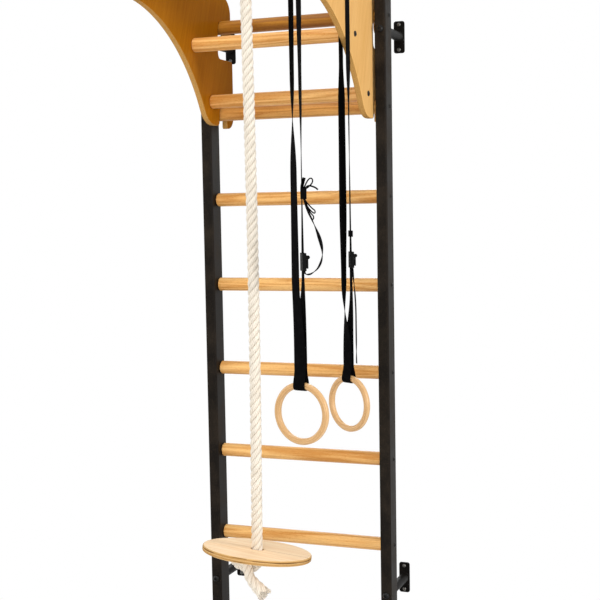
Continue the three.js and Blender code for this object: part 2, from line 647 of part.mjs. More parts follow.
// Splits the quads of the box's back face along the same diagonal as those of its front face, so
// that a twist keeps the webbing's thickness.
function alignDiagonals(box) {
  const index = box.index;
  const back = box.groups[3];
  for (let quad = back.start; quad < back.start + back.count; quad += 6) {
    const [a, b, c, d] = [0, 1, 4, 2].map((step) => index.getX(quad + step));
    [a, b, c, a, c, d].forEach((corner, step) => index.setX(quad + step, corner));
  }
}

// Webbing: a flat box bent along a row of stations, each with a place, a width direction and a
// thickness direction.
function webbing(stations, width, thickness) {
  const count = stations.length - 1;
  const box = new THREE.BoxGeometry(width, thickness, 1, 1, 1, count);
  alignDiagonals(box);
  const position = box.attributes.position;
  const point = new THREE.Vector3();
  for (let index = 0; index < position.count; index += 1) {
    const station = stations[Math.round((position.getZ(index) + 0.5) * count)];
    point.copy(station.at);
    point.addScaledVector(station.across, position.getX(index));
    point.addScaledVector(station.out, position.getY(index));
    position.setXYZ(index, point.x, point.y, point.z);
  }
  return closedOutward(box);
}

function closedOutward(geometry) {
  const position = geometry.attributes.position;
  const index = geometry.index;
  const corners = [new THREE.Vector3(), new THREE.Vector3(), new THREE.Vector3()];
  let volume = 0;
  for (let face = 0; face < index.count; face += 3) {
    corners.forEach((corner, step) => corner.fromBufferAttribute(position, index.getX(face + step)));
    volume += corners[0].dot(corners[1].cross(corners[2]));
  }
  if (volume < 0) {
    for (let face = 0; face < index.count; face += 3) {
      const second = index.getX(face + 1);
      index.setX(face + 1, index.getX(face + 2));
      index.setX(face + 2, second);
    }
  }
  return geometry;
}

function flat(angle) {
  return new THREE.Vector3(Math.cos(angle * DEGREE), Math.sin(angle * DEGREE), 0);
}

// Value at a share of the way, eased between the stops of a table.
function tableAt(table, share) {
  let before = table[0];
  for (const stop of table) {
    if (share <= stop[0]) {
      const span = stop[0] - before[0];
      const part = span > 0 ? (share - before[0]) / span : 0;
      const eased = part * part * (3 - 2 * part);
      return before[1] + (stop[1] - before[1]) * eased;
    }
    before = stop;
  }
  return before[1];
}

// One gym ring with its strap: a saddle over the right side plate, two legs that twist down and
// close up above the ring, a buckle on the outer leg and the loose end of the webbing.
function strapLayout(spec) {
  const y = spec === FRONT_STRAP ? FRONT_STRAP_Y : REAR_STRAP_Y;
  const pivotZ = lowerEdgeHeight(y);
  const ringZ = BAR_Z - BAR_RISE - spec.ringDrop;
  const loopZ = ringZ + RING_RADIUS - RING_LOOP_SAG;
  const loopRadius = RING_TUBE / 2 + RING_LOOP_GAP + STRAP_THICKNESS / 2;
  return { y, pivotZ, ringZ, loopZ, loopRadius, buckleZ: TOP_RUNG_Z - spec.buckleDrop };
}

// Place on one leg: sign is 1 on the outer leg and -1 on the inner one.
function legStation(spec, layout, sign, z) {
  const start = layout.pivotZ - STRAP_PARALLEL;
  const share = z > start ? 0 : (start - z) / (start - layout.loopZ);
  const own = tableAt(sign > 0 ? spec.outerTwist : spec.innerTwist, share);
  const other = tableAt(sign > 0 ? spec.innerTwist : spec.outerTwist, share);
  const across = flat(own);
  const out = flat(own + 90);
  const rise = z - layout.loopZ;
  let apart = tableAt(LEG_SPREAD, share);
  if (rise < LOOP_SPREAD_RISE) {
    const open = Math.cos(Math.PI / 2 * rise / LOOP_SPREAD_RISE) ** 2;
    apart += (layout.loopRadius - LEGS_CLOSED_OFFSET) * open;
  }
  const at = flat((own + other) / 2 + 90).multiplyScalar(sign * apart);
  at.add(new THREE.Vector3(SIDE_CENTRE_X, layout.y, z));
  return { at, across, out, angle: own };
}

function hangingLoop(spec, layout) {
  const stations = [];
  for (let step = 0; step <= LEG_STEPS; step += 1) {
    const z = layout.pivotZ + (layout.loopZ - layout.pivotZ) * step / LEG_STEPS;
    stations.push(legStation(spec, layout, 1, z));
  }
  const across = flat(spec.ringTurn);
  const sideways = flat(spec.ringTurn + 90);
  for (let step = 1; step < LOOP_STEPS; step += 1) {
    const angle = Math.PI * step / LOOP_STEPS;
    const out = sideways.clone().multiplyScalar(Math.cos(angle));
    out.z -= Math.sin(angle);
    const at = new THREE.Vector3(SIDE_CENTRE_X, layout.y, layout.loopZ);
    at.addScaledVector(out, layout.loopRadius);
    stations.push({ at, across, out });
  }
  for (let step = LEG_STEPS; step >= 0; step -= 1) {
    const z = layout.pivotZ + (layout.loopZ - layout.pivotZ) * step / LEG_STEPS;
    const station = legStation(spec, layout, -1, z);
    station.out.negate();
    stations.push(station);
  }
  const pads = [1, -1].map((sign) => {
    const pad = rodAlongX(STRAP_WIDTH / 2, STRAP_THICKNESS, WIDE_SEGMENTS);
    return pad.translate(SIDE_CENTRE_X + sign * LEG_OFFSET, layout.y, layout.pivotZ);
  });
  return join([webbing(stations, STRAP_WIDTH, STRAP_THICKNESS), ...pads]);
}

function saddle(layout) {
  const crest = Math.max(...[-1, 0, 1].map((share) => topEdgeHeight(layout.y + share * STRAP_WIDTH / 2)));
  const top = crest + STRAP_FACE_GAP + STRAP_THICKNESS / 2;
  const bend = SIDE_EDGE_ROUND + STRAP_FACE_GAP + STRAP_THICKNESS / 2;
  const across = new THREE.Vector3(0, -1, 0);
  const stations = [];
  for (const sign of [1, -1]) {
    const start = sign > 0 ? 0 : SADDLE_STEPS;
    const leg = {
      at: new THREE.Vector3(SIDE_CENTRE_X + sign * LEG_OFFSET, layout.y, layout.pivotZ),
      across,
      out: new THREE.Vector3(sign, 0, 0),
    };
    const corner = [];
    for (let step = 0; step <= SADDLE_STEPS; step += 1) {
      const angle = Math.PI / 2 * Math.abs(start - step) / SADDLE_STEPS;
      const out = new THREE.Vector3(sign * Math.cos(angle), 0, Math.sin(angle));
      const at = new THREE.Vector3(SIDE_CENTRE_X + sign * (LEG_OFFSET - bend), layout.y, top - bend);
      at.addScaledVector(out, bend);
      corner.push({ at, across, out });
    }
    stations.push(...(sign > 0 ? [leg, ...corner] : [...corner, leg]));
  }
  const pad = rodAlongX(STRAP_WIDTH / 2 + SADDLE_SWING_GAP, 4 * SIDE_THICKNESS, WIDE_SEGMENTS);
  pad.translate(SIDE_CENTRE_X, layout.y, layout.pivotZ);
  return cut(webbing(stations, STRAP_WIDTH, STRAP_THICKNESS), [pad]);
}

// Moves a piece drawn at the origin onto a leg: X along the webbing's width, Y outward, Z up.
function ontoLeg(geometry, station) {
  geometry.rotateZ(station.angle * DEGREE);
  return geometry.translate(station.at.x, station.at.y, station.at.z);
}

const buckleFace = BUCKLE_DEPTH - BUCKLE_SLOT / 2 - BUCKLE_BACK;
const leverY = buckleFace + LEVER_BARREL / 2 + FIT;

function buckleFrame() {
  const body = new THREE.BoxGeometry(BUCKLE_WIDTH, BUCKLE_DEPTH, BUCKLE_HEIGHT);
  body.translate(0, buckleFace - BUCKLE_DEPTH / 2, 0);
  const ears = [1, -1].map((sign) => {
    const ear = rodAlongX(LEVER_BARREL / 2 + EAR_RIM, EAR_THICKNESS, SMALL_SEGMENTS);
    return ear.translate(sign * (LEVER_WIDTH / 2 + EAR_GAP + EAR_THICKNESS / 2), leverY, LEVER_PIN_RISE);
  });
  const slot = new THREE.BoxGeometry(BUCKLE_SLOT_WIDTH, BUCKLE_SLOT, 2 * BUCKLE_HEIGHT);
  return cut(join([body, ...ears]), [slot]);
}

function buckleLever() {
  const barrel = rodAlongX(LEVER_BARREL / 2, LEVER_WIDTH, SMALL_SEGMENTS);
  barrel.translate(0, leverY, LEVER_PIN_RISE);
  const blade = new THREE.BoxGeometry(LEVER_WIDTH, LEVER_BLADE, LEVER_LENGTH);
  blade.translate(0, leverY, LEVER_PIN_RISE - LEVER_LENGTH / 2);
  return join([barrel, blade]);
}

// Loose end of the front strap: out of the buckle's foot, round in a wide bow and back up to the
// outer leg, where the spare webbing is tied.
function bowedTail(spec, layout) {
  const foot = legStation(spec, layout, 1, layout.buckleZ - BUCKLE_HEIGHT / 2);
  const tie = legStation(spec, layout, 1, layout.buckleZ + BOW_TIE_RISE);
  const outward = flat(foot.angle + 90);
  const lean = tie.at.clone().sub(foot.at).dot(outward) / (tie.at.z - foot.at.z);
  const points = FRONT_TAIL_BOW.map(([reach, rise]) => {
    const point = foot.at.clone().addScaledVector(outward, reach + lean * Math.max(rise, 0));
    point.z += rise;
    return point;
  });
  const curve = new THREE.CatmullRomCurve3(points);
  const stations = [];
  for (let step = 0; step <= BOW_STEPS; step += 1) {
    const share = step / BOW_STEPS;
    const tangent = curve.getTangentAt(share);
    const twist = BOW_TWIST * DEGREE * Math.sin(Math.PI * share);
    const across = foot.across.clone().applyAxisAngle(tangent, twist);
    const out = new THREE.Vector3().crossVectors(tangent, across).normalize();
    stations.push({ at: curve.getPointAt(share), across, out });
  }
  return webbing(stations, STRAP_WIDTH, STRAP_THICKNESS);
}

// Loose end of the rear strap: hangs down outside the outer leg from the buckle's foot, with a twist.
function hangingTail(spec, layout) {
  const leg = legStation(spec, layout, 1, layout.buckleZ - BUCKLE_HEIGHT / 2);
  const stations = [];
  for (let step = 0; step <= TAIL_STEPS; step += 1) {
    const share = step / TAIL_STEPS;
    const eased = Math.sin(Math.min(1, 2 * share) * Math.PI / 2);
    const at = leg.at.clone().addScaledVector(leg.out, TAIL_START + (TAIL_OFFSET - TAIL_START) * eased);
    at.z -= FIT + TAIL_LENGTH_HANGING * share;
    const angle = leg.angle + tableAt(REAR_TAIL_TWIST, share);
    stations.push({ at, across: flat(angle), out: flat(angle + 90) });
  }
  return webbing(stations, STRAP_WIDTH, STRAP_THICKNESS);
}

for (const spec of [FRONT_STRAP, REAR_STRAP]) {
  const layout = strapLayout(spec);
  place(`${spec.name}_strap_saddle`, saddle(layout), 'webbing', 0, 0.8);
  place(`${spec.name}_strap`, hangingLoop(spec, layout), 'webbing', 0, 0.8);

  const ring = new THREE.TorusGeometry(RING_RADIUS, RING_TUBE / 2, RING_TUBE_SEGMENTS, RING_SEGMENTS);
  ring.rotateX(Math.PI / 2);
  ring.rotateZ(spec.ringTurn * DEGREE);
  ring.translate(SIDE_CENTRE_X, layout.y, layout.ringZ);
  place(`${spec.name}_ring`, ring, 'ring', 0, 0.4);

  const station = legStation(spec, layout, 1, layout.buckleZ);
  place(`${spec.name}_buckle`, ontoLeg(buckleFrame(), station), 'zinc', 0.9, 0.4);
  place(`${spec.name}_buckle_lever`, ontoLeg(buckleLever(), station), 'zinc', 0.9, 0.4);
}

place('front_strap_tail', bowedTail(FRONT_STRAP, strapLayout(FRONT_STRAP)), 'webbing', 0, 0.8);
place('rear_strap_tail', hangingTail(REAR_STRAP, strapLayout(REAR_STRAP)), 'webbing', 0, 0.8);

export default assembly;
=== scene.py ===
# Wall bars with steel posts and wooden rungs, and a hook-on pull-up arch that carries a climbing
# rope with a disc seat and a pair of gym rings on webbing straps.
# Metres. The origin lies on the wall plane at floor level, midway between the two posts.

import math
import random

import bmesh
import bpy
from mathutils import Matrix, Vector


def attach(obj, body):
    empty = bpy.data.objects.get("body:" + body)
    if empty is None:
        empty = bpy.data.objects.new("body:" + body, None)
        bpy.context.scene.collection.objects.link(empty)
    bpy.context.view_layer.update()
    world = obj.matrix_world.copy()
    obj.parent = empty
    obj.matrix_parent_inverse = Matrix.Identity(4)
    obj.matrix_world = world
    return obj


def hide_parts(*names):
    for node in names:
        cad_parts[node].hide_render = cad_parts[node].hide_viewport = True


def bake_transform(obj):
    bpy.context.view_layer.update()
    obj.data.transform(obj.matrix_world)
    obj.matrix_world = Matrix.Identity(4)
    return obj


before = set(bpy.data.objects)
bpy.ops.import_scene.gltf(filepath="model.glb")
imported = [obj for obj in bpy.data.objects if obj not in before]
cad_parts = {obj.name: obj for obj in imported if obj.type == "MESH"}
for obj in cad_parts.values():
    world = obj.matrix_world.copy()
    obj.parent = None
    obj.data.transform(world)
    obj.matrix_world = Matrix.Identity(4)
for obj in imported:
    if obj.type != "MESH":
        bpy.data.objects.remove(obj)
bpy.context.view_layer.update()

# Camera: it stands to the right of the wall bars at chest height and looks slightly down.
# The image is taken as 600 by 600, and the lens axis lies a little under the image centre.
IMAGE_PIXELS = 600
FOCAL_PIXELS = 1214.728
AXIS_BELOW_CENTRE = 18
SENSOR = 36
CAMERA_PLACE = (1.5120, -4.0641, 1.5811)
CAMERA_YAW = math.radians(-21.2263)
CAMERA_PITCH = math.radians(-4.9615)
CAMERA_ROLL = math.radians(-0.9867)

camera_lens = bpy.data.cameras.new("camera")
camera_lens.sensor_width = SENSOR
camera_lens.lens = FOCAL_PIXELS * SENSOR / IMAGE_PIXELS
camera_lens.shift_y = AXIS_BELOW_CENTRE / IMAGE_PIXELS
camera = bpy.data.objects.new("camera", camera_lens)
camera.matrix_world = (
    Matrix.Translation(CAMERA_PLACE)
    @ Matrix.Rotation(-CAMERA_YAW, 4, "Z")
    @ Matrix.Rotation(math.pi / 2 + CAMERA_PITCH, 4, "X")
    @ Matrix.Rotation(CAMERA_ROLL, 4, "Z")
)
bpy.context.scene.collection.objects.link(camera)
bpy.context.scene.camera = camera
bpy.context.scene.view_settings.view_transform = "Standard"


# Studio: a pale floor that takes the object's shadow, a white surround and five soft lamps.
# The surround is white to the eye and in reflections, and lights the object at a lower level.
# The floor fades into it away from the object and at the wall.
FLOOR_PALE = 0.86
SURROUND_LIGHT = 0.26
FLOOR_BACK = 0.02
FLOOR_FRONT = -3.6
FLOOR_HALF_WIDTH = 2.6
FLOOR_MIDDLE = (0, -0.7, 0)
FADE_START = 1.0
FADE_END = 2.5
WALL_FADE_START = -0.16
LAMPS = [
    ("side_lamp", (3.9, -1.0, 2.2), 1.4, 86),
    ("front_lamp", (0.9, -4.8, 1.5), 2.6, 94),
    ("top_lamp", (0.2, -1.8, 4.4), 2.0, 64),
    ("left_lamp", (-3.8, -1.4, 2.2), 2.2, 50),
    ("back_lamp", (-0.6, 3.6, 2.6), 2.2, 44),
]
LAMP_AIM = Vector((0.0, -0.4, 1.3))


def srgb(red, green, blue):
    linear = []
    for channel in (red, green, blue):
        share = channel / 255
        linear.append(share / 12.92 if share <= 0.04045 else ((share + 0.055) / 1.055) ** 2.4)
    return (*linear, 1.0)


def add_node(tree, kind, sockets=None, **settings):
    node = tree.nodes.new(kind)
    for key, value in settings.items():
        setattr(node, key, value)
    for socket, value in (sockets or {}).items():
        if isinstance(value, bpy.types.NodeSocket):
            tree.links.new(value, node.inputs[socket])
        else:
            node.inputs[socket].default_value = value
    return node


def seen_as_background(tree):
    rays = add_node(tree, "ShaderNodeLightPath")
    camera_or_glossy = add_node(
        tree,
        "ShaderNodeMath",
        {0: rays.outputs["Is Camera Ray"], 1: rays.outputs["Is Glossy Ray"]},
        operation="MAXIMUM",
    )
    seen = add_node(
        tree,
        "ShaderNodeMath",
        {0: camera_or_glossy.outputs[0], 1: rays.outputs["Is Transmission Ray"]},
        operation="MAXIMUM",
    )
    return seen.outputs[0]


world = bpy.data.worlds.new("white_surround")
world.use_nodes = True
world_tree = world.node_tree
world_tree.nodes.clear()
lighting = add_node(
    world_tree, "ShaderNodeBackground", {"Color": srgb(255, 252, 248), "Strength": SURROUND_LIGHT}
)
white = add_node(world_tree, "ShaderNodeBackground", {"Color": (1, 1, 1, 1), "Strength": 1.0})
surround = add_node(
    world_tree,
    "ShaderNodeMixShader",
    {0: seen_as_background(world_tree), 1: lighting.outputs[0], 2: white.outputs[0]},
)
add_node(world_tree, "ShaderNodeOutputWorld", {"Surface": surround.outputs[0]})
bpy.context.scene.world = world

for lamp_name, lamp_place, lamp_size, lamp_power in LAMPS:
    lamp_data = bpy.data.lights.new(lamp_name, "AREA")
    lamp_data.shape = "DISK"
    lamp_data.size = lamp_size
    lamp_data.energy = lamp_power
    lamp = bpy.data.objects.new(lamp_name, lamp_data)
    lamp.location = lamp_place
    lamp.rotation_euler = (LAMP_AIM - Vector(lamp_place)).to_track_quat("-Z", "Y").to_euler()
    bpy.context.scene.collection.objects.link(lamp)

floor_mesh = bpy.data.meshes.new("floor")
floor_bm = bmesh.new()
floor_depth = FLOOR_BACK - FLOOR_FRONT
floor_middle = (FLOOR_BACK + FLOOR_FRONT) / 2
bmesh.ops.create_grid(
    floor_bm,
    x_segments=8,
    y_segments=8,
    size=1.0,
    matrix=Matrix.Translation((0, floor_middle, 0))
    @ Matrix.Diagonal((FLOOR_HALF_WIDTH, floor_depth / 2, 1, 1)),
)
floor_bm.to_mesh(floor_mesh)
floor_bm.free()
floor = bpy.data.objects.new("floor", floor_mesh)
bpy.context.scene.collection.objects.link(floor)
floor_finish = bpy.data.materials.new("pale_floor")
floor_finish.use_nodes = True
floor_tree = floor_finish.node_tree
floor_tree.nodes.clear()
floor_coat = add_node(
    floor_tree, "ShaderNodeBsdfDiffuse", {"Color": (FLOOR_PALE, FLOOR_PALE, FLOOR_PALE, 1)}
)
floor_shade = add_node(floor_tree, "ShaderNodeBsdfDiffuse", {"Color": (0.5, 0.5, 0.5, 1)})
floor_lift = add_node(floor_tree, "ShaderNodeEmission", {"Color": (1, 1, 1, 1), "Strength": 0.5})
floor_white = add_node(
    floor_tree, "ShaderNodeAddShader", {0: floor_shade.outputs[0], 1: floor_lift.outputs[0]}
)
floor_place = add_node(floor_tree, "ShaderNodeTexCoord").outputs["Object"]
floor_reach = add_node(
    floor_tree, "ShaderNodeVectorMath", {0: floor_place, 1: FLOOR_MIDDLE}, operation="DISTANCE"
).outputs["Value"]
floor_to_wall = add_node(floor_tree, "ShaderNodeSeparateXYZ", {0: floor_place}).outputs["Y"]
outward_fade = add_node(
    floor_tree, "ShaderNodeMapRange", {"Value": floor_reach, "From Min": FADE_START, "From Max": FADE_END}
)
wall_fade = add_node(
    floor_tree, "ShaderNodeMapRange",
    {"Value": floor_to_wall, "From Min": WALL_FADE_START, "From Max": FLOOR_BACK},
)
floor_fade = add_node(
    floor_tree, "ShaderNodeMath", {0: outward_fade.outputs[0], 1: wall_fade.outputs[0]},
    operation="MAXIMUM",
)
floor_blank = add_node(floor_tree, "ShaderNodeEmission", {"Color": (1, 1, 1, 1), "Strength": 1.0})
floor_faded = add_node(
    floor_tree, "ShaderNodeMixShader",
    {0: floor_fade.outputs[0], 1: floor_white.outputs[0], 2: floor_blank.outputs[0]},
)
floor_seen = add_node(
    floor_tree,
    "ShaderNodeMixShader",
    {0: seen_as_background(floor_tree), 1: floor_coat.outputs[0], 2: floor_faded.outputs[0]},
)
add_node(floor_tree, "ShaderNodeOutputMaterial", {"Surface": floor_seen.outputs[0]})
floor_mesh.materials.append(floor_finish)


# Posts: two rectangular steel tubes with rounded corners, powder coated dark brown black.
# Each is closed by a pressed-in plastic cap above and a plastic foot below.
FIT = 0.0003
POST_X = 0.316
POST_Y = -0.190
POST_WIDTH = 0.038
POST_DEPTH = 0.070
POST_CORNER = 0.005
POST_TOP = 2.300
CAP_HEIGHT = 0.004
FOOT_HEIGHT = 0.008
SIDES = (("left", -1), ("right", 1))


def new_finish(name, metallic=0.0):
    finish = bpy.data.materials.new(name)
    finish.use_nodes = True
    shader = finish.node_tree.nodes["Principled BSDF"]
    shader.inputs["Metallic"].default_value = metallic
    return finish, finish.node_tree, shader


def object_place(tree):
    return add_node(tree, "ShaderNodeTexCoord").outputs["Object"]


def stretched(tree, place, scale):
    return add_node(tree, "ShaderNodeMapping", {"Vector": place, "Scale": scale}).outputs[0]


def math_node(tree, operation, first, second=0.0, third=None):
    sockets = {0: first, 1: second}
    if third is not None:
        sockets[2] = third
    return add_node(tree, "ShaderNodeMath", sockets, operation=operation).outputs[0]


def mixed(tree, share, first, second, blend="MIX"):
    mix = add_node(tree, "ShaderNodeMix", data_type="RGBA", blend_type=blend)
    for socket, value in ((mix.inputs[0], share), (mix.inputs[6], first), (mix.inputs[7], second)):
        if isinstance(value, bpy.types.NodeSocket):
            tree.links.new(value, socket)
        else:
            socket.default_value = value
    return mix.outputs[2]


def remapped(tree, value, low, high, new_low=0.0, new_high=1.0):
    sockets = {0: value, 1: low, 2: high, 3: new_low, 4: new_high}
    return add_node(tree, "ShaderNodeMapRange", sockets).outputs[0]


def set_bump(tree, shader, height, strength, distance):
    bump = add_node(
        tree, "ShaderNodeBump", {"Height": height, "Strength": strength, "Distance": distance}
    )
    tree.links.new(bump.outputs[0], shader.inputs["Normal"])


def new_group(name, inputs, outputs):
    tree = bpy.data.node_groups.new(name, "ShaderNodeTree")
    for socket_name, kind in inputs:
        tree.interface.new_socket(socket_name, in_out="INPUT", socket_type=kind)
    for socket_name, kind in outputs:
        tree.interface.new_socket(socket_name, in_out="OUTPUT", socket_type=kind)
    return tree, tree.nodes.new("NodeGroupInput"), tree.nodes.new("NodeGroupOutput")


def use_group(tree, group, sockets):
    node = tree.nodes.new("ShaderNodeGroup")
    node.node_tree = group
    for socket, value in sockets.items():
        if isinstance(value, bpy.types.NodeSocket):
            tree.links.new(value, node.inputs[socket])
        else:
            node.inputs[socket].default_value = value
    return node.outputs


# The coat group gives the fine pebbled skin of powder coat and moulded plastic, with dull rubbed
# patches where hands and dust have been.
coat_group, coat_in, coat_out = new_group(
    "pebbled_coat",
    [("Vector", "NodeSocketVector"), ("Pebble", "NodeSocketFloat"), ("Base", "NodeSocketColor"),
     ("Dusty", "NodeSocketColor"), ("Gloss", "NodeSocketFloat")],
    [("Color", "NodeSocketColor"), ("Roughness", "NodeSocketFloat"), ("Height", "NodeSocketFloat")],
)
pebble = add_node(
    coat_group,
    "ShaderNodeTexNoise",
    {"Vector": coat_in.outputs["Vector"], "Scale": coat_in.outputs["Pebble"], "Detail": 3.0},
)
rubbed = add_node(
    coat_group,
    "ShaderNodeTexNoise",
    {"Vector": coat_in.outputs["Vector"], "Scale": 9.0, "Detail": 5.0, "Roughness": 0.62},
)
rubbed_share = remapped(coat_group, rubbed.outputs[0], 0.42, 0.72)
speck = remapped(coat_group, pebble.outputs[0], 0.56, 0.70)
dust_share = math_node(coat_group, "MULTIPLY", rubbed_share, 0.45)
dust_share = math_node(coat_group, "MULTIPLY_ADD", speck, 0.55, dust_share)
coat_colour = mixed(coat_group, dust_share, coat_in.outputs["Base"], coat_in.outputs["Dusty"])
coat_rough = math_node(coat_group, "MULTIPLY_ADD", rubbed_share, 0.16, coat_in.outputs["Gloss"])
coat_group.links.new(coat_colour, coat_out.inputs["Color"])
coat_group.links.new(coat_rough, coat_out.inputs["Roughness"])
coat_group.links.new(pebble.outputs[0], coat_out.inputs["Height"])


def coated_finish(name, base, dusty, gloss, pebble_scale, bump_depth, metallic=0.0, shine=0.5):
    finish, tree, shader = new_finish(name, metallic)
    shader.inputs["Specular IOR Level"].default_value = shine
    coat = use_group(
        tree,
        coat_group,
        {"Vector": object_place(tree), "Pebble": pebble_scale, "Base": base, "Dusty": dusty, "Gloss": gloss},
    )
    tree.links.new(coat["Color"], shader.inputs["Base Color"])
    tree.links.new(coat["Roughness"], shader.inputs["Roughness"])
    set_bump(tree, shader, coat["Height"], 0.5, bump_depth)
    return finish


def make_piece(name, bm, finish, body, nodes=(), sharp=35, even=True):
    bmesh.ops.recalc_face_normals(bm, faces=bm.faces)
    mesh = bpy.data.meshes.new(name)
    bm.to_mesh(mesh)
    bm.free()
    mesh.shade_smooth()
    mesh.set_sharp_from_angle(angle=math.radians(sharp))
    mesh.materials.append(finish)
    piece = bpy.data.objects.new(name, mesh)
    bpy.context.scene.collection.objects.link(piece)
    if even:
        piece.modifiers.new("even_normals", "WEIGHTED_NORMAL").keep_sharp = True
    if body:
        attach(piece, body)
    if nodes:
        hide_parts(*nodes)
    return piece


def eased_block(bm, size, centre, upright_corner, edge, segments=5):
    """A block whose four edges along Z are rounded, with all remaining edges lightly eased."""
    block = bmesh.ops.create_cube(bm, size=1.0)["verts"]
    bmesh.ops.scale(bm, vec=size, verts=block)
    bmesh.ops.translate(bm, vec=centre, verts=block)
    edges = {e for v in block for e in v.link_edges}
    if upright_corner:
        upright = [e for e in edges if abs((e.verts[0].co - e.verts[1].co).normalized().z) > 0.9]
        bmesh.ops.bevel(
            bm, geom=upright, offset=upright_corner, offset_type="OFFSET", segments=segments,
            profile=0.5, affect="EDGES", material=-1,
        )
    if edge:
        low, high = centre[2] - size[2] / 2, centre[2] + size[2] / 2
        x_range = (centre[0] - size[0] / 2 - 1e-5, centre[0] + size[0] / 2 + 1e-5)
        y_range = (centre[1] - size[1] / 2 - 1e-5, centre[1] + size[1] / 2 + 1e-5)
        rims = []
        for e in bm.edges:
            ends = [v.co for v in e.verts]
            inside = all(
                x_range[0] < c.x < x_range[1] and y_range[0] < c.y < y_range[1] for c in ends
            )
            on_low = all(abs(c.z - low) < 1e-6 for c in ends)
            on_high = all(abs(c.z - high) < 1e-6 for c in ends)
            if inside and (on_low or on_high):
                rims.append(e)
        bmesh.ops.bevel(
            bm, geom=rims, offset=edge, offset_type="OFFSET", segments=3,
            profile=0.5, affect="EDGES", material=-1,
        )


powder_coat = coated_finish(
    "powder_coat", srgb(17, 13, 9), srgb(56, 47, 37), 0.46, 420.0, 0.00016, 0.0, 0.08
)
black_plastic = coated_finish(
    "black_plastic", srgb(14, 13, 12), srgb(36, 34, 31), 0.5, 1500.0, 0.0001, 0.0, 0.15
)

for side, sign in SIDES:
    post = bmesh.new()
    post_low = FOOT_HEIGHT + FIT
    post_high = POST_TOP - CAP_HEIGHT - FIT
    eased_block(
        post,
        (POST_WIDTH, POST_DEPTH, post_high - post_low),
        (sign * POST_X, POST_Y, (post_low + post_high) / 2),
        POST_CORNER,
        0.0004,
    )
    make_piece(f"{side}_post_tube", post, powder_coat, "frame", [f"{side}_post"])
    plugs = (("cap", POST_TOP - CAP_HEIGHT / 2, CAP_HEIGHT), ("foot", FOOT_HEIGHT / 2, FOOT_HEIGHT))
    for plug_name, plug_z, plug_height in plugs:
        plug = bmesh.new()
        eased_block(
            plug,
            (POST_WIDTH, POST_DEPTH, plug_height),
            (sign * POST_X, POST_Y, plug_z),
            POST_CORNER,
            0.0015,
        )
        make_piece(
            f"{side}_{plug_name}_plug", plug, black_plastic, "frame",
            [f"{side}_post_{plug_name}"],
        )


# Rungs: eight round beech bars between the posts, turned, oiled and eased at the ends.
# A screw through each post holds each end.
RUNG_COUNT = 8
RUNG_PITCH = 0.295
TOP_RUNG_Z = 2.220
RUNG_Y = -0.179
BAR_RADIUS = 0.023
RUNG_LENGTH = 0.594 - 2 * FIT

# The grain group runs along X: wide figure bands, fine fibres and short dark pores.
grain_group, grain_in, grain_out = new_group(
    "wood_grain",
    [("Vector", "NodeSocketVector"), ("Pale", "NodeSocketColor"), ("Dark", "NodeSocketColor"),
     ("Figure", "NodeSocketFloat"), ("Pores", "NodeSocketFloat")],
    [("Color", "NodeSocketColor"), ("Roughness", "NodeSocketFloat"), ("Height", "NodeSocketFloat")],
)
grain_place = grain_in.outputs["Vector"]
figure_noise = add_node(
    grain_group,
    "ShaderNodeTexNoise",
    {"Vector": stretched(grain_group, grain_place, (1.3, 26, 26)), "Scale": 1.0, "Detail": 2.0,
     "Roughness": 0.4},
)
figure_wave = math_node(
    grain_group, "SINE", math_node(grain_group, "MULTIPLY", figure_noise.outputs[0], 46.0)
)
figure_bands = math_node(grain_group, "MULTIPLY_ADD", figure_wave, 0.5, 0.5)
fibre_noise = add_node(
    grain_group,
    "ShaderNodeTexNoise",
    {"Vector": stretched(grain_group, grain_place, (7, 330, 330)), "Scale": 1.0, "Detail": 4.0,
     "Roughness": 0.65},
)
fibre = remapped(grain_group, fibre_noise.outputs[0], 0.3, 0.7)
tone_noise = add_node(
    grain_group,
    "ShaderNodeTexNoise",
    {"Vector": stretched(grain_group, grain_place, (2.2, 9, 9)), "Scale": 1.0, "Detail": 2.0},
)
tone = remapped(grain_group, tone_noise.outputs[0], 0.3, 0.7)
pore_noise = add_node(
    grain_group,
    "ShaderNodeTexNoise",
    {"Vector": stretched(grain_group, grain_place, (110, 1100, 1100)), "Scale": 1.0, "Detail": 1.0},
)
pore_mask = remapped(grain_group, pore_noise.outputs[0], 0.6, 0.68)
pore_mask = math_node(grain_group, "MULTIPLY", pore_mask, grain_in.outputs["Pores"])
dark_share = math_node(grain_group, "MULTIPLY", figure_bands, grain_in.outputs["Figure"])
dark_share = math_node(grain_group, "MULTIPLY_ADD", fibre, 0.34, dark_share)
dark_share = math_node(grain_group, "MULTIPLY_ADD", tone, 0.25, dark_share)
dark_share = math_node(grain_group, "MULTIPLY_ADD", pore_mask, 0.45, dark_share)
wood_colour = mixed(grain_group, dark_share, grain_in.outputs["Pale"], grain_in.outputs["Dark"])
wood_height = math_node(
    grain_group, "SUBTRACT", fibre, math_node(grain_group, "MULTIPLY", pore_mask, 0.8)
)
wood_rough = math_node(grain_group, "MULTIPLY_ADD", fibre, 0.12, 0.36)
grain_group.links.new(wood_colour, grain_out.inputs["Color"])
grain_group.links.new(wood_rough, grain_out.inputs["Roughness"])
grain_group.links.new(wood_height, grain_out.inputs["Height"])

RUNG_EASE = 0.005


def beech_finish(name, pale, dark):
    finish, tree, shader = new_finish(name)
    grain = use_group(
        tree, grain_group,
        {"Vector": object_place(tree), "Pale": pale, "Dark": dark, "Figure": 0.46, "Pores": 0.8},
    )
    tree.links.new(grain["Color"], shader.inputs["Base Color"])
    tree.links.new(grain["Roughness"], shader.inputs["Roughness"])
    shader.inputs["Specular IOR Level"].default_value = 0.25
    shader.inputs["Coat Weight"].default_value = 0.05
    shader.inputs["Coat Roughness"].default_value = 0.35
    set_bump(tree, shader, grain["Height"], 0.35, 0.0002)
    return finish


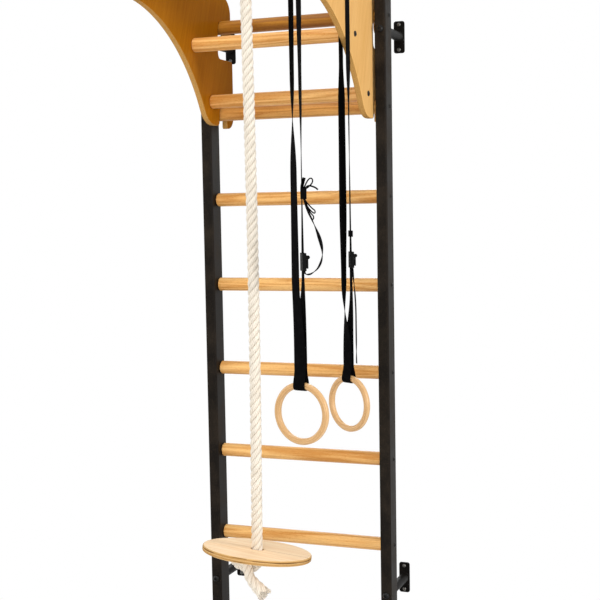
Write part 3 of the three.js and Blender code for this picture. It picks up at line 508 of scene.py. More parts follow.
# The top two bars take darker copies of the beech, as painted shade for the shade between the side plates:
# deepest on the top bar, less on the next.
pale_beech = beech_finish("pale_beech", srgb(252, 204, 132), srgb(192, 124, 46))
beech_painted_half_shade = beech_finish("beech_painted_half_shade", srgb(232, 176, 98), srgb(168, 104, 32))
beech_painted_deep_shade = beech_finish("beech_painted_deep_shade", srgb(190, 130, 44), srgb(128, 76, 12))
RUNG_SHADED_COPIES = {1: beech_painted_deep_shade, 2: beech_painted_half_shade}


def wooden_bar(name, length, place, wood, body, node):
    bar = bmesh.new()
    bmesh.ops.create_cone(
        bar, cap_ends=True, cap_tris=False, segments=64, radius1=BAR_RADIUS, radius2=BAR_RADIUS,
        depth=length, matrix=Matrix.Translation(place) @ Matrix.Rotation(math.pi / 2, 4, "Y"),
    )
    rims = [e for e in bar.edges if abs(e.verts[0].co.x - e.verts[1].co.x) < 1e-6]
    bmesh.ops.bevel(
        bar, geom=rims, offset=RUNG_EASE, offset_type="OFFSET", segments=6, profile=0.5,
        affect="EDGES", material=-1,
    )
    return make_piece(name, bar, wood, body, [node])


for rung in range(1, RUNG_COUNT + 1):
    wooden_bar(
        f"beech_rung_{rung}",
        RUNG_LENGTH,
        (0, RUNG_Y, TOP_RUNG_Z - (rung - 1) * RUNG_PITCH),
        RUNG_SHADED_COPIES.get(rung, pale_beech),
        "frame",
        f"rung_{rung}",
    )


# Rung screws: sixteen black button-head screws, one through each post into each rung end.
# Each head has a hexagon socket and sits on the post's outer face over the drilled hole.
RUNG_SCREW_HEAD = 0.0065
RUNG_SCREW_HEIGHT = 0.0036

black_bolt = coated_finish(
    "black_oxide", srgb(10, 9, 8), srgb(34, 32, 30), 0.3, 2600.0, 0.00006, 0.0, 0.2
)
zinc = coated_finish("zinc_plate", srgb(112, 111, 107), srgb(78, 76, 72), 0.3, 2200.0, 0.00005, 0.9)


def loop_edges(verts):
    members = set(verts)
    return [e for e in {e for v in verts for e in v.link_edges} if all(v in members for v in e.verts)]


def socket_head(bm, radius, height, place, turn, shank_radius, shank_length, socket=0.46):
    """A domed head along +Z over its seat at z = 0, with a hexagon socket and a plain shank."""
    profile = [
        (shank_radius, 0.0), (radius, 0.0), (radius, 0.30 * height), (0.93 * radius, 0.58 * height),
        (0.78 * radius, 0.82 * height), (0.62 * radius, height),
    ]
    ring = bmesh.ops.create_circle(
        bm, cap_ends=True, segments=24, radius=shank_radius,
        matrix=Matrix.Translation((0, 0, -shank_length)),
    )["verts"]
    verts = list(ring)
    sockets = [(socket * radius, height), (socket * radius, 0.4 * height)]
    for step, (ring_radius, ring_z) in enumerate(profile + sockets):
        made = bmesh.ops.extrude_edge_only(bm, edges=loop_edges(ring))["geom"]
        ring = [g for g in made if isinstance(g, bmesh.types.BMVert)]
        for vert in ring:
            angle = math.atan2(vert.co.y, vert.co.x)
            reach = ring_radius
            if step >= len(profile):
                reach *= math.cos(math.pi / 6) / math.cos(angle % (math.pi / 3) - math.pi / 6)
            vert.co = (reach * math.cos(angle), reach * math.sin(angle), ring_z)
        verts += ring
    bmesh.ops.contextual_create(bm, geom=loop_edges(ring))
    bmesh.ops.transform(bm, matrix=Matrix.Translation(place) @ turn, verts=verts)


for side, sign in SIDES:
    screws = bmesh.new()
    outward = Matrix.Rotation(sign * math.pi / 2, 4, "Y")
    for rung in range(RUNG_COUNT):
        face = (sign * (POST_X + POST_WIDTH / 2 - 0.0005), RUNG_Y, TOP_RUNG_Z - rung * RUNG_PITCH)
        spin = Matrix.Rotation(0.4 * rung, 4, "Z")
        socket_head(screws, RUNG_SCREW_HEAD, RUNG_SCREW_HEIGHT, face, outward @ spin, 0.004, 0.002)
    make_piece(f"{side}_rung_screws", screws, black_bolt, "frame")


# Wall brackets: a rounded steel plate on the wall with a round standoff welded to it.
# A bolt through the post holds the standoff, and two screws hold each plate to the wall.
# Plate and standoff are powder coated black before they are put up.
BRACKET_LEVELS = (("upper", 2.172), ("lower", 0.285))
PLATE_WIDTH = 0.038
PLATE_HEIGHT = 0.108
PLATE_THICKNESS = 0.005
PLATE_CORNER = 0.008
STANDOFF_RADIUS = 0.016
STANDOFF_END = -0.1547
WELD_RADIUS = 0.0032
WALL_SCREW_REACH = 0.042
POST_FRONT = -0.225
TO_FRONT = Matrix.Rotation(math.pi / 2, 4, "X")

black_coat = coated_finish(
    "black_powder_coat", srgb(8, 7, 6), srgb(30, 26, 22), 0.42, 420.0, 0.00016, 0.0, 0.06
)

for level, level_z in BRACKET_LEVELS:
    for side, sign in SIDES:
        bracket = bmesh.new()
        eased_block(
            bracket,
            (PLATE_WIDTH, PLATE_HEIGHT, PLATE_THICKNESS),
            (0, 0, PLATE_THICKNESS / 2),
            PLATE_CORNER,
            0.0008,
        )
        standoff_length = -STANDOFF_END - PLATE_THICKNESS
        bmesh.ops.create_cone(
            bracket, cap_ends=True, cap_tris=False, segments=48, radius1=STANDOFF_RADIUS,
            radius2=STANDOFF_RADIUS, depth=standoff_length,
            matrix=Matrix.Translation((0, 0, PLATE_THICKNESS + standoff_length / 2)),
        )
        bead = bmesh.ops.create_circle(
            bracket, cap_ends=False, segments=10, radius=WELD_RADIUS,
            matrix=Matrix.Translation((STANDOFF_RADIUS + 0.0004, 0, PLATE_THICKNESS + 0.0004)) @ TO_FRONT,
        )["verts"]
        bmesh.ops.spin(
            bracket, geom=bead + loop_edges(bead), cent=(0, 0, 0), axis=(0, 0, 1),
            angle=2 * math.pi, steps=60, use_merge=True,
        )
        bmesh.ops.remove_doubles(bracket, verts=bracket.verts, dist=1e-6)
        for vert in bracket.verts:
            off_axis = math.hypot(vert.co.x, vert.co.y)
            near_plate = abs(vert.co.z - PLATE_THICKNESS) < 1.4 * WELD_RADIUS
            if near_plate and STANDOFF_RADIUS + 0.0006 < off_axis < STANDOFF_RADIUS + 0.005:
                ripple = 1 + 0.10 * math.sin(22 * math.atan2(vert.co.y, vert.co.x))
                vert.co.x *= 1 + 0.02 * (ripple - 1)
                vert.co.z = PLATE_THICKNESS + (vert.co.z - PLATE_THICKNESS) * ripple
        bmesh.ops.transform(
            bracket, matrix=Matrix.Translation((sign * POST_X, 0, level_z)) @ TO_FRONT,
            verts=bracket.verts,
        )
        make_piece(
            f"{level}_{side}_wall_bracket", bracket, black_coat, "frame",
            [f"{level}_{side}_bracket"],
        )
        bolt = bmesh.new()
        socket_head(
            bolt, 0.0115, 0.008, (sign * POST_X, POST_FRONT - FIT, level_z), TO_FRONT, 0.005, 0.098
        )
        make_piece(
            f"{level}_{side}_post_bolt", bolt, black_bolt, "frame",
            [f"{level}_{side}_bracket_bolt"],
        )
        for row, row_sign in (("upper", 1), ("lower", -1)):
            screw = bmesh.new()
            screw_place = (sign * POST_X, -PLATE_THICKNESS - FIT, level_z + row_sign * WALL_SCREW_REACH)
            screw_turn = TO_FRONT @ Matrix.Rotation(0.7 * row_sign + 0.3 * sign, 4, "Z")
            socket_head(screw, 0.0065, 0.0045, screw_place, screw_turn, 0.0035, 0.0047)
            make_piece(
                f"{level}_{side}_{row}_plate_screw", screw, zinc, "frame",
                [f"{level}_{side}_{row}_wall_screw"],
            )


# Side plates of the arch: 20 mm plywood cut to one outline, with rounded edges and oiled faces.
# The hook drops over the top rung from behind, and the fork straddles the second rung.
SIDE_INNER_X = 0.269
SIDE_THICKNESS = 0.020
SIDE_ROUND = 0.003
SECOND_RUNG_Z = TOP_RUNG_Z - RUNG_PITCH
SLOT_RADIUS = 0.031
SLOT_FRONT = RUNG_Y - SLOT_RADIUS
SLOT_BACK = RUNG_Y + SLOT_RADIUS
HOOK_SEAT_Z = TOP_RUNG_Z + BAR_RADIUS + 0.0004 - SLOT_RADIUS
FORK_SEAT_Z = SECOND_RUNG_Z + 0.029 - SLOT_RADIUS
FORK_FRONT_Z = SECOND_RUNG_Z - 0.041
FORK_BACK_Z = SECOND_RUNG_Z - 0.047
FORK_FRONT_CORNER = 0.014
FORK_INNER_CORNER = 0.006
FORK_BACK_CORNER = 0.044
BACK_EDGE_Y = RUNG_Y + 0.086
BACK_EDGE_CORNER = 0.012
MOUTH_LOW_Z = TOP_RUNG_Z - 0.1065
MOUTH_HEIGHT = 0.055
MOUTH_CORNER = 0.020
PRONG_RADIUS = 0.0225
PRONG_Z = MOUTH_LOW_Z + MOUTH_HEIGHT + PRONG_RADIUS
HOOK_BACK_Y = SLOT_BACK + 2 * PRONG_RADIUS
LOBE_Y = RUNG_Y + 0.019
LOBE_Z = TOP_RUNG_Z + 0.052
LOBE_RADIUS = HOOK_BACK_Y - LOBE_Y
ARM_DEPTH = 0.114
ARC_Y = -0.856
ARC_RADIUS = 0.617
PULL_BAR_Y = -0.835
PULL_BAR_Z = 2.288
NOSE_Y = -0.902
NOSE_RADIUS = ARM_DEPTH / 2
ARM_LOWER_Z = PULL_BAR_Z - NOSE_RADIUS
ARC_Z = ARM_LOWER_Z - ARC_RADIUS
TOP_EDGE_RADIUS = 3.5
TIP_RADIUS = 0.090
GRAIN_LEAN = 20


def line_to(bm, tip, y, z):
    if (tip.co - Vector((tip.co.x, y, z))).length < 1e-6:
        return tip
    corner = bm.verts.new((tip.co.x, y, z))
    bm.edges.new((tip, corner))
    return corner


def arc_to(bm, tip, y, z, start, end, steps):
    turn = bmesh.ops.spin(
        bm, geom=[tip], cent=(tip.co.x, y, z), axis=(1, 0, 0), angle=end - start, steps=steps
    )
    return [g for g in turn["geom_last"] if isinstance(g, bmesh.types.BMVert)][0]


def top_edge_centre():
    """Centre of the long circle that touches the nose and the lobe from outside."""
    nose_reach = TOP_EDGE_RADIUS - NOSE_RADIUS
    lobe_reach = TOP_EDGE_RADIUS - LOBE_RADIUS
    dy, dz = LOBE_Y - NOSE_Y, LOBE_Z - PULL_BAR_Z
    span = math.hypot(dy, dz)
    along = (nose_reach**2 - lobe_reach**2 + span**2) / (2 * span)
    below = math.sqrt(nose_reach**2 - along**2)
    return NOSE_Y + (along * dy + below * dz) / span, PULL_BAR_Z + (along * dz - below * dy) / span


TOP_Y, TOP_Z = top_edge_centre()


def side_outline(bm, x):
    half = math.pi / 2
    tip_z = FORK_FRONT_Z + TIP_RADIUS
    tip_reach = ARC_RADIUS + TIP_RADIUS
    tip_y = ARC_Y + math.sqrt(tip_reach**2 - (tip_z - ARC_Z) ** 2)
    tip_angle = math.atan2(tip_z - ARC_Z, tip_y - ARC_Y)
    nose_top = math.atan2(PULL_BAR_Z - TOP_Z, NOSE_Y - TOP_Y)
    lobe_top = math.atan2(LOBE_Z - TOP_Z, LOBE_Y - TOP_Y)
    pen = bm.verts.new((x, tip_y, FORK_FRONT_Z))
    pen = line_to(bm, pen, SLOT_FRONT - FORK_FRONT_CORNER, FORK_FRONT_Z)
    pen = arc_to(bm, pen, SLOT_FRONT - FORK_FRONT_CORNER, FORK_FRONT_Z + FORK_FRONT_CORNER, -half, 0, 8)
    pen = line_to(bm, pen, SLOT_FRONT, FORK_SEAT_Z)
    pen = arc_to(bm, pen, RUNG_Y, FORK_SEAT_Z, math.pi, 0, 24)
    pen = line_to(bm, pen, SLOT_BACK, FORK_BACK_Z + FORK_INNER_CORNER)
    pen = arc_to(
        bm, pen, SLOT_BACK + FORK_INNER_CORNER, FORK_BACK_Z + FORK_INNER_CORNER, math.pi, 3 * half, 6
    )
    pen = line_to(bm, pen, BACK_EDGE_Y - FORK_BACK_CORNER, FORK_BACK_Z)
    pen = arc_to(
        bm, pen, BACK_EDGE_Y - FORK_BACK_CORNER, FORK_BACK_Z + FORK_BACK_CORNER, -half, 0, 10
    )
    pen = line_to(bm, pen, BACK_EDGE_Y, MOUTH_LOW_Z - BACK_EDGE_CORNER)
    pen = arc_to(
        bm, pen, BACK_EDGE_Y - BACK_EDGE_CORNER, MOUTH_LOW_Z - BACK_EDGE_CORNER, 0, half, 8
    )
    pen = line_to(bm, pen, SLOT_FRONT + MOUTH_CORNER, MOUTH_LOW_Z)
    pen = arc_to(
        bm, pen, SLOT_FRONT + MOUTH_CORNER, MOUTH_LOW_Z + MOUTH_CORNER, 3 * half, math.pi, 8
    )
    pen = line_to(bm, pen, SLOT_FRONT, HOOK_SEAT_Z)
    pen = arc_to(bm, pen, RUNG_Y, HOOK_SEAT_Z, math.pi, 0, 24)
    pen = line_to(bm, pen, SLOT_BACK, PRONG_Z)
    pen = arc_to(bm, pen, SLOT_BACK + PRONG_RADIUS, PRONG_Z, math.pi, 2 * math.pi, 18)
    pen = line_to(bm, pen, HOOK_BACK_Y, LOBE_Z)
    pen = arc_to(bm, pen, LOBE_Y, LOBE_Z, 0, lobe_top, 16)
    pen = arc_to(bm, pen, TOP_Y, TOP_Z, lobe_top, nose_top, 36)
    pen = arc_to(bm, pen, NOSE_Y, PULL_BAR_Z, nose_top, 3 * half, 26)
    pen = line_to(bm, pen, ARC_Y, ARM_LOWER_Z)
    pen = arc_to(bm, pen, ARC_Y, ARC_Z, half, tip_angle, 48)
    arc_to(bm, pen, tip_y, tip_z, tip_angle + math.pi, 3 * half, 16)
    bmesh.ops.remove_doubles(bm, verts=bm.verts, dist=1e-5)


# The ply group takes the depth through a board and gives the tone of each ply, the dark glue
# lines between plies and a mask of the two face veneers.
ply_group, ply_in, ply_out = new_group(
    "ply_layers",
    [("Depth", "NodeSocketFloat"), ("Board", "NodeSocketFloat"), ("Plies", "NodeSocketFloat")],
    [("Tone", "NodeSocketFloat"), ("Glue", "NodeSocketFloat"), ("Veneer", "NodeSocketFloat")],
)
ply_share = math_node(ply_group, "DIVIDE", ply_in.outputs["Depth"], ply_in.outputs["Board"])
ply_count = math_node(ply_group, "MULTIPLY", ply_share, ply_in.outputs["Plies"])
ply_tone = math_node(ply_group, "MODULO", math_node(ply_group, "FLOOR", ply_count), 2.0)
ply_edge = math_node(ply_group, "PINGPONG", ply_count, 0.5)
ply_glue = remapped(ply_group, ply_edge, 0.10, 0.04)
from_middle = math_node(
    ply_group, "ABSOLUTE", math_node(ply_group, "SUBTRACT", ply_share, 0.5)
)
ply_veneer = remapped(ply_group, from_middle, 0.455, 0.46)
ply_group.links.new(ply_tone, ply_out.inputs["Tone"])
ply_group.links.new(ply_glue, ply_out.inputs["Glue"])
ply_group.links.new(ply_veneer, ply_out.inputs["Veneer"])


def board_finish(name, grain_place_of, depth_of, board, plies, veneer, back_face_colours, edge, figure):
    """Plywood: a veneer with grain on each face, and bare plies with glue lines along its cut edges."""
    finish, tree, shader = new_finish(name)
    place = object_place(tree)
    depth = depth_of(tree, place)
    layers = use_group(tree, ply_group, {"Depth": depth, "Board": board, "Plies": plies})
    along = grain_place_of(tree, place)
    on_front = math_node(tree, "GREATER_THAN", depth, board / 2)
    pale = mixed(tree, on_front, back_face_colours[0], veneer[0])
    dark = mixed(tree, on_front, back_face_colours[1], veneer[1])
    face = use_group(
        tree, grain_group,
        {"Vector": along, "Pale": pale, "Dark": dark, "Figure": figure, "Pores": 0.35},
    )
    core = mixed(tree, layers["Tone"], edge[0], edge[1])
    core = mixed(tree, layers["Glue"], core, edge[2])
    crumb = add_node(tree, "ShaderNodeTexNoise", {"Vector": place, "Scale": 700.0, "Detail": 2.0})
    core = mixed(
        tree, remapped(tree, crumb.outputs[0], 0.35, 0.75, 0.0, 0.3), core, edge[2]
    )
    tree.links.new(mixed(tree, layers["Veneer"], core, face["Color"]), shader.inputs["Base Color"])
    tree.links.new(face["Roughness"], shader.inputs["Roughness"])
    height = math_node(tree, "MULTIPLY_ADD", layers["Glue"], -0.6, face["Height"])
    set_bump(tree, shader, height, 0.3, 0.0002)
    shader.inputs["Specular IOR Level"].default_value = 0.0
    shader.inputs["Coat Weight"].default_value = 0.06
    shader.inputs["Coat Roughness"].default_value = 0.3
    return finish


def side_grain(tree, place):
    lean = math.radians(GRAIN_LEAN)
    runs = []
    for direction in ((0, math.sin(lean), math.cos(lean)), (0, math.cos(lean), -math.sin(lean)), (1, 0, 0)):
        run = add_node(tree, "ShaderNodeVectorMath", {0: place, 1: direction}, operation="DOT_PRODUCT")
        runs.append(run.outputs["Value"])
    return add_node(tree, "ShaderNodeCombineXYZ", dict(enumerate(runs))).outputs[0]


def side_depth(tree, place):
    x = add_node(tree, "ShaderNodeSeparateXYZ", {0: place}).outputs["X"]
    return math_node(tree, "SUBTRACT", math_node(tree, "ABSOLUTE", x), SIDE_INNER_X)


# The inner faces of the side plates take the darker, deeper amber pair of colours: painted shade for the shade
# between the plates.
plywood = board_finish(
    "oiled_plywood", side_grain, side_depth, SIDE_THICKNESS, 13.0,
    (srgb(240, 192, 124), srgb(212, 154, 76)),
    (srgb(188, 120, 24), srgb(150, 88, 4)),
    (srgb(224, 178, 108), srgb(190, 138, 70), srgb(130, 86, 34)),
    0.16,
)

for side, sign in SIDES:
    side_plate = bmesh.new()
    side_outline(side_plate, sign * SIDE_INNER_X)
    bmesh.ops.contextual_create(side_plate, geom=side_plate.edges[:])
    board = bmesh.ops.extrude_face_region(side_plate, geom=side_plate.faces[:])["geom"]
    bmesh.ops.translate(
        side_plate, vec=(sign * SIDE_THICKNESS, 0, 0),
        verts=[g for g in board if isinstance(g, bmesh.types.BMVert)],
    )
    rims = [e for e in side_plate.edges if abs(e.verts[0].co.x - e.verts[1].co.x) < 1e-6]
    bmesh.ops.bevel(
        side_plate, geom=rims, offset=SIDE_ROUND, offset_type="OFFSET", segments=4, profile=0.5,
        affect="EDGES", material=-1, clamp_overlap=True,
    )
    bmesh.ops.triangulate(side_plate, faces=[f for f in side_plate.faces if len(f.verts) > 4])
    make_piece(
        f"{side}_plywood_side", side_plate, plywood, "arch", [f"{side}_side_plate"]
    )


# Stays and pull-up bar: beech dowels between the side plates, each drawn up by two bolts.
# The bolt heads lie on the plates' outer faces.
STAYS = (
    ("upper_stay", -0.400, 2.135),
    ("lower_stay", -0.272, 1.961),
    ("pull_up_bar", PULL_BAR_Y, PULL_BAR_Z),
)
STAY_LENGTH = 2 * (SIDE_INNER_X - FIT)
STAY_BOLT_HEAD = 0.009
STAY_BOLT_HEIGHT = 0.004

for stay, stay_y, stay_z in STAYS:
    wooden_bar(f"beech_{stay}", STAY_LENGTH, (0, stay_y, stay_z), pale_beech, "arch", stay)
    for side, sign in SIDES:
        bolt = bmesh.new()
        head_seat = (sign * (SIDE_INNER_X + SIDE_THICKNESS + FIT), stay_y, stay_z)
        bolt_turn = Matrix.Rotation(sign * math.pi / 2, 4, "Y") @ Matrix.Rotation(0.5, 4, "Z")
        socket_head(bolt, STAY_BOLT_HEAD, STAY_BOLT_HEIGHT, head_seat, bolt_turn, 0.004, 0.062)
        make_piece(
            f"{stay}_{side}_socket_bolt", bolt, black_bolt, "arch",
            [f"{stay}_{side}_bolt"],
        )


# Rope: four cotton strands laid to the right, 34 mm thick, from the collar under the pull-up bar
# down through the seat. It hangs under its own weight and ends in the knot below the seat.
ROPE_X = 0.109
ROPE_TOP = 2.1934
ROPE_BOTTOM = 0.57754
ROPE_DIAMETER = 0.034
ROPE_LAY = 0.094
ROPE_SWAY = 0.006
STRAND_COUNT = 4
STRAND_SHARE = 0.46
STRAND_OFFSET_SHARE = 0.54
STRAND_SIDES = 14


def frames_along(points):
    """Carries a pair of cross directions along a path without twist."""
    tangents = []
    for index in range(len(points)):
        before = points[max(index - 1, 0)]
        after = points[min(index + 1, len(points) - 1)]
        tangents.append((after - before).normalized())
    guide = Vector((1, 0, 0)) if abs(tangents[0].x) < 0.9 else Vector((0, 1, 0))
    first = (guide - tangents[0] * guide.dot(tangents[0])).normalized()
    frames = [(first, tangents[0].cross(first))]
    for index in range(1, len(points)):
        turn = tangents[index - 1].rotation_difference(tangents[index])
        first = turn @ frames[-1][0]
        first = (first - tangents[index] * first.dot(tangents[index])).normalized()
        frames.append((first, tangents[index].cross(first)))
    return frames


def sweep_tube(bm, points, radii, sides, cleft, core, uv):
    """A closed round tube along a path, with its UV in turns and metres, and its depth in the rope."""
    frames = frames_along(points)
    rings = []
    run = 0.0
    runs = []
    for index, point in enumerate(points):
        if index:
            run += (point - points[index - 1]).length
        runs.append(run)
        ring = []
        for step in range(sides):
            angle = 2 * math.pi * step / sides
            across, up = frames[index]
            offset = across * math.cos(angle) + up * math.sin(angle)
            vert = bm.verts.new(point + offset * radii[index])
            if core:
                axis, full = core[index]
                vert[cleft] = min(1.0, (vert.co - axis).length / full)
            else:
                vert[cleft] = 1.0
            ring.append(vert)
        rings.append(ring)
    for index in range(len(rings) - 1):
        for step in range(sides):
            after = (step + 1) % sides
            face = bm.faces.new(
                (rings[index][step], rings[index][after], rings[index + 1][after], rings[index + 1][step])
            )
            shares = (step, step + 1, step + 1, step)
            heights = (runs[index], runs[index], runs[index + 1], runs[index + 1])
            for loop, share, height in zip(face.loops, shares, heights):
                loop[uv].uv = (share / sides, height)
    bm.faces.new(list(reversed(rings[0])))
    bm.faces.new(rings[-1])


def laid_rope(bm, points, diameters, lay, phase, cleft, uv):
    """Strands wound to the right round a path whose points lie close together."""
    frames = frames_along(points)
    runs = [0.0]
    for before, after in zip(points, points[1:]):
        runs.append(runs[-1] + (after - before).length)
    for strand in range(STRAND_COUNT):
        centres = []
        radii = []
        core = []
        for point, (across, up), run, diameter in zip(points, frames, runs, diameters):
            angle = phase + 2 * math.pi * (strand / STRAND_COUNT + run / lay)
            radius = diameter / 2
            offset = across * math.cos(angle) + up * math.sin(angle)
            centres.append(point + offset * radius * STRAND_OFFSET_SHARE)
            radii.append(radius * STRAND_SHARE)
            core.append((point, radius))
        sweep_tube(bm, centres, radii, STRAND_SIDES, cleft, core, uv)


def new_rope_mesh():
    bm = bmesh.new()
    return bm, bm.verts.layers.float.new("cleft"), bm.loops.layers.uv.new("UVMap")


def cotton_finish(name, pale, shade, yarn_turns, yarn_pitch):
    """Cotton rope: painted shade in the clefts between strands, fine yarns across each strand and soft fuzz."""
    finish, tree, shader = new_finish(name)
    uv = add_node(tree, "ShaderNodeUVMap", uv_map="UVMap").outputs[0]
    turn = add_node(tree, "ShaderNodeSeparateXYZ", {0: uv})
    along = math_node(tree, "MULTIPLY", turn.outputs["Y"], 1.0 / yarn_pitch)
    yarn_phase = math_node(tree, "MULTIPLY_ADD", turn.outputs["X"], yarn_turns, along)
    yarn = math_node(tree, "PINGPONG", yarn_phase, 0.5)
    yarn = remapped(tree, yarn, 0.0, 0.3)
    cleft = add_node(tree, "ShaderNodeAttribute", attribute_name="cleft").outputs["Fac"]
    # Painted shade: the rope darkens toward the clefts between its strands.
    cleft_shade = remapped(tree, cleft, 0.64, 0.90)
    place = object_place(tree)
    fuzz = add_node(tree, "ShaderNodeTexNoise", {"Vector": place, "Scale": 1400.0, "Detail": 3.0})
    soil = add_node(tree, "ShaderNodeTexNoise", {"Vector": place, "Scale": 26.0, "Detail": 4.0})
    light = math_node(tree, "MULTIPLY_ADD", yarn, 0.30, 0.0)
    light = math_node(tree, "MULTIPLY_ADD", cleft_shade, 0.70, light)
    light = math_node(tree, "MULTIPLY_ADD", fuzz.outputs[0], 0.16, math_node(tree, "SUBTRACT", light, 0.08))
    soil_share = remapped(tree, soil.outputs[0], 0.45, 0.75, 0.0, 0.18)
    light = math_node(tree, "SUBTRACT", light, soil_share)
    light_mix = mixed(tree, light, shade, pale)
    tree.links.new(light_mix, shader.inputs["Base Color"])
    shader.inputs["Roughness"].default_value = 0.92
    shader.inputs["Sheen Weight"].default_value = 0.15
    height = math_node(tree, "MULTIPLY_ADD", fuzz.outputs[0], 0.5, yarn)
    set_bump(tree, shader, height, 0.55, 0.0007)
    return finish


cotton = cotton_finish("cotton_rope", srgb(236, 227, 212), srgb(146, 128, 104), 9.0, 0.030)


def rope_route(share):
    return Vector((
        ROPE_X + ROPE_SWAY * math.sin(math.pi * share),
        PULL_BAR_Y,
        ROPE_TOP + (ROPE_BOTTOM - ROPE_TOP) * share,
    ))


rope_bm, rope_cleft, rope_uv = new_rope_mesh()
ROPE_STEPS = 420
rope_points = [rope_route(step / ROPE_STEPS) for step in range(ROPE_STEPS + 1)]
laid_rope(
    rope_bm, rope_points, [ROPE_DIAMETER] * len(rope_points), ROPE_LAY, 0.0, rope_cleft, rope_uv
)
rope = make_piece(
    "climbing_rope", rope_bm, cotton, "rope", ["rope"], sharp=80, even=False
)


# Rope eye and collar: the rope's upper end goes once round the pull-up bar and is spliced back
# into itself. The splice is bound with tight turns of thin twine.
EYE_RADIUS = BAR_RADIUS + 0.0005 + ROPE_DIAMETER / 2
COLLAR_TOP = 2.2337
COLLAR_BOTTOM = 2.1937
COLLAR_RADIUS = 0.0222
TWINE_RADIUS = 0.0014


def smooth_route(corners, steps):
    """Points on a Catmull-Rom curve through the corners."""
    route = []
    padded = [2 * corners[0] - corners[1], *corners, 2 * corners[-1] - corners[-2]]
    for index in range(1, len(padded) - 2):
        a, b, c, d = padded[index - 1:index + 3]
        for step in range(steps):
            t = step / steps
            route.append(
                0.5 * (
                    2 * b + (c - a) * t + (2 * a - 5 * b + 4 * c - d) * t * t
                    + (3 * b - a - 3 * c + d) * t * t * t
                )
            )
    route.append(corners[-1])
    return route


eye_corners = [Vector((ROPE_X, PULL_BAR_Y + 0.010, COLLAR_TOP - 0.016)),
               Vector((ROPE_X, PULL_BAR_Y + 0.0145, COLLAR_TOP + 0.004))]
for degrees in range(-42, 223, 22):
    angle = math.radians(degrees)
    eye_corners.append(Vector((
        ROPE_X,
        PULL_BAR_Y + EYE_RADIUS * math.cos(angle),
        PULL_BAR_Z + EYE_RADIUS * math.sin(angle),
    )))
eye_corners.append(Vector((ROPE_X, PULL_BAR_Y - 0.0145, COLLAR_TOP + 0.004)))
eye_corners.append(Vector((ROPE_X, PULL_BAR_Y - 0.010, COLLAR_TOP - 0.016)))
eye_points = smooth_route(eye_corners, 8)
eye_sizes = []
for index in range(len(eye_points)):
    from_end = min(index, len(eye_points) - 1 - index) / 24
    eye_sizes.append(ROPE_DIAMETER * 0.97 * (0.62 + 0.38 * min(1.0, from_end)))
eye_bm, eye_cleft, eye_uv = new_rope_mesh()
laid_rope(eye_bm, eye_points, eye_sizes, ROPE_LAY, 0.6, eye_cleft, eye_uv)
make_piece("spliced_eye", eye_bm, cotton, "rope", ["rope_eye"], sharp=80, even=False)

twine = cotton_finish("binding_twine", srgb(226, 210, 182), srgb(140, 118, 88), 3.0, 0.004)
collar_bm, collar_cleft, collar_uv = new_rope_mesh()
collar_turns = int((COLLAR_TOP - COLLAR_BOTTOM) / (2 * TWINE_RADIUS)) - 1
TWINE_STEPS = 28
twine_points = []
for step in range(collar_turns * TWINE_STEPS + 1):
    angle = 2 * math.pi * step / TWINE_STEPS
    twine_points.append(Vector((
        ROPE_X + COLLAR_RADIUS * math.cos(angle),
        PULL_BAR_Y + COLLAR_RADIUS * math.sin(angle),
        COLLAR_BOTTOM + 1.6 * TWINE_RADIUS + step / TWINE_STEPS * 2 * TWINE_RADIUS,
    )))
sweep_tube(collar_bm, twine_points, [TWINE_RADIUS] * len(twine_points), 8, collar_cleft, None, collar_uv)
core_points = [
    Vector((ROPE_X, PULL_BAR_Y, COLLAR_BOTTOM + share * (COLLAR_TOP - COLLAR_BOTTOM)))
    for share in (0.0, 0.04, 0.96, 1.0)
]
core_sizes = [COLLAR_RADIUS - 0.002, COLLAR_RADIUS, COLLAR_RADIUS, COLLAR_RADIUS - 0.002]
sweep_tube(collar_bm, core_points, core_sizes, 36, collar_cleft, None, collar_uv)
make_piece(
    "twine_collar", collar_bm, twine, "rope", ["rope_collar"], sharp=60, even=False
)


# Disc seat: a round of birch plywood with a rounded rim and a hole for the rope.
# It rests on the knot and hangs a little out of level.
SEAT_CENTRE = (ROPE_X, PULL_BAR_Y, 0.584)
SEAT_RADIUS = 0.162
SEAT_HALF = 0.009
SEAT_ROUND = 0.005
SEAT_HOLE = 0.020
SEAT_TILT = (math.radians(-7.4), math.radians(4.9))
seat_turn = (
    Matrix.Rotation(SEAT_TILT[0], 4, "X") @ Matrix.Rotation(SEAT_TILT[1], 4, "Y")
)
seat_place = Matrix.Translation(SEAT_CENTRE) @ seat_turn
SEAT_EULER = tuple(seat_turn.to_euler("XYZ"))


def seat_local(tree, place):
    return add_node(
        tree, "ShaderNodeMapping",
        {"Vector": place, "Location": SEAT_CENTRE, "Rotation": SEAT_EULER},
        vector_type="TEXTURE",
    ).outputs[0]


def seat_depth(tree, place):
    local_z = add_node(tree, "ShaderNodeSeparateXYZ", {0: seat_local(tree, place)}).outputs["Z"]
    return math_node(tree, "ADD", local_z, SEAT_HALF)


birch_ply = board_finish(
    "birch_plywood", seat_local, seat_depth, 2 * SEAT_HALF, 5.0,
    (srgb(255, 234, 202), srgb(234, 192, 144)),
    (srgb(246, 216, 178), srgb(222, 178, 128)),
    (srgb(218, 180, 122), srgb(196, 150, 90), srgb(140, 92, 46)),
    0.34,
)

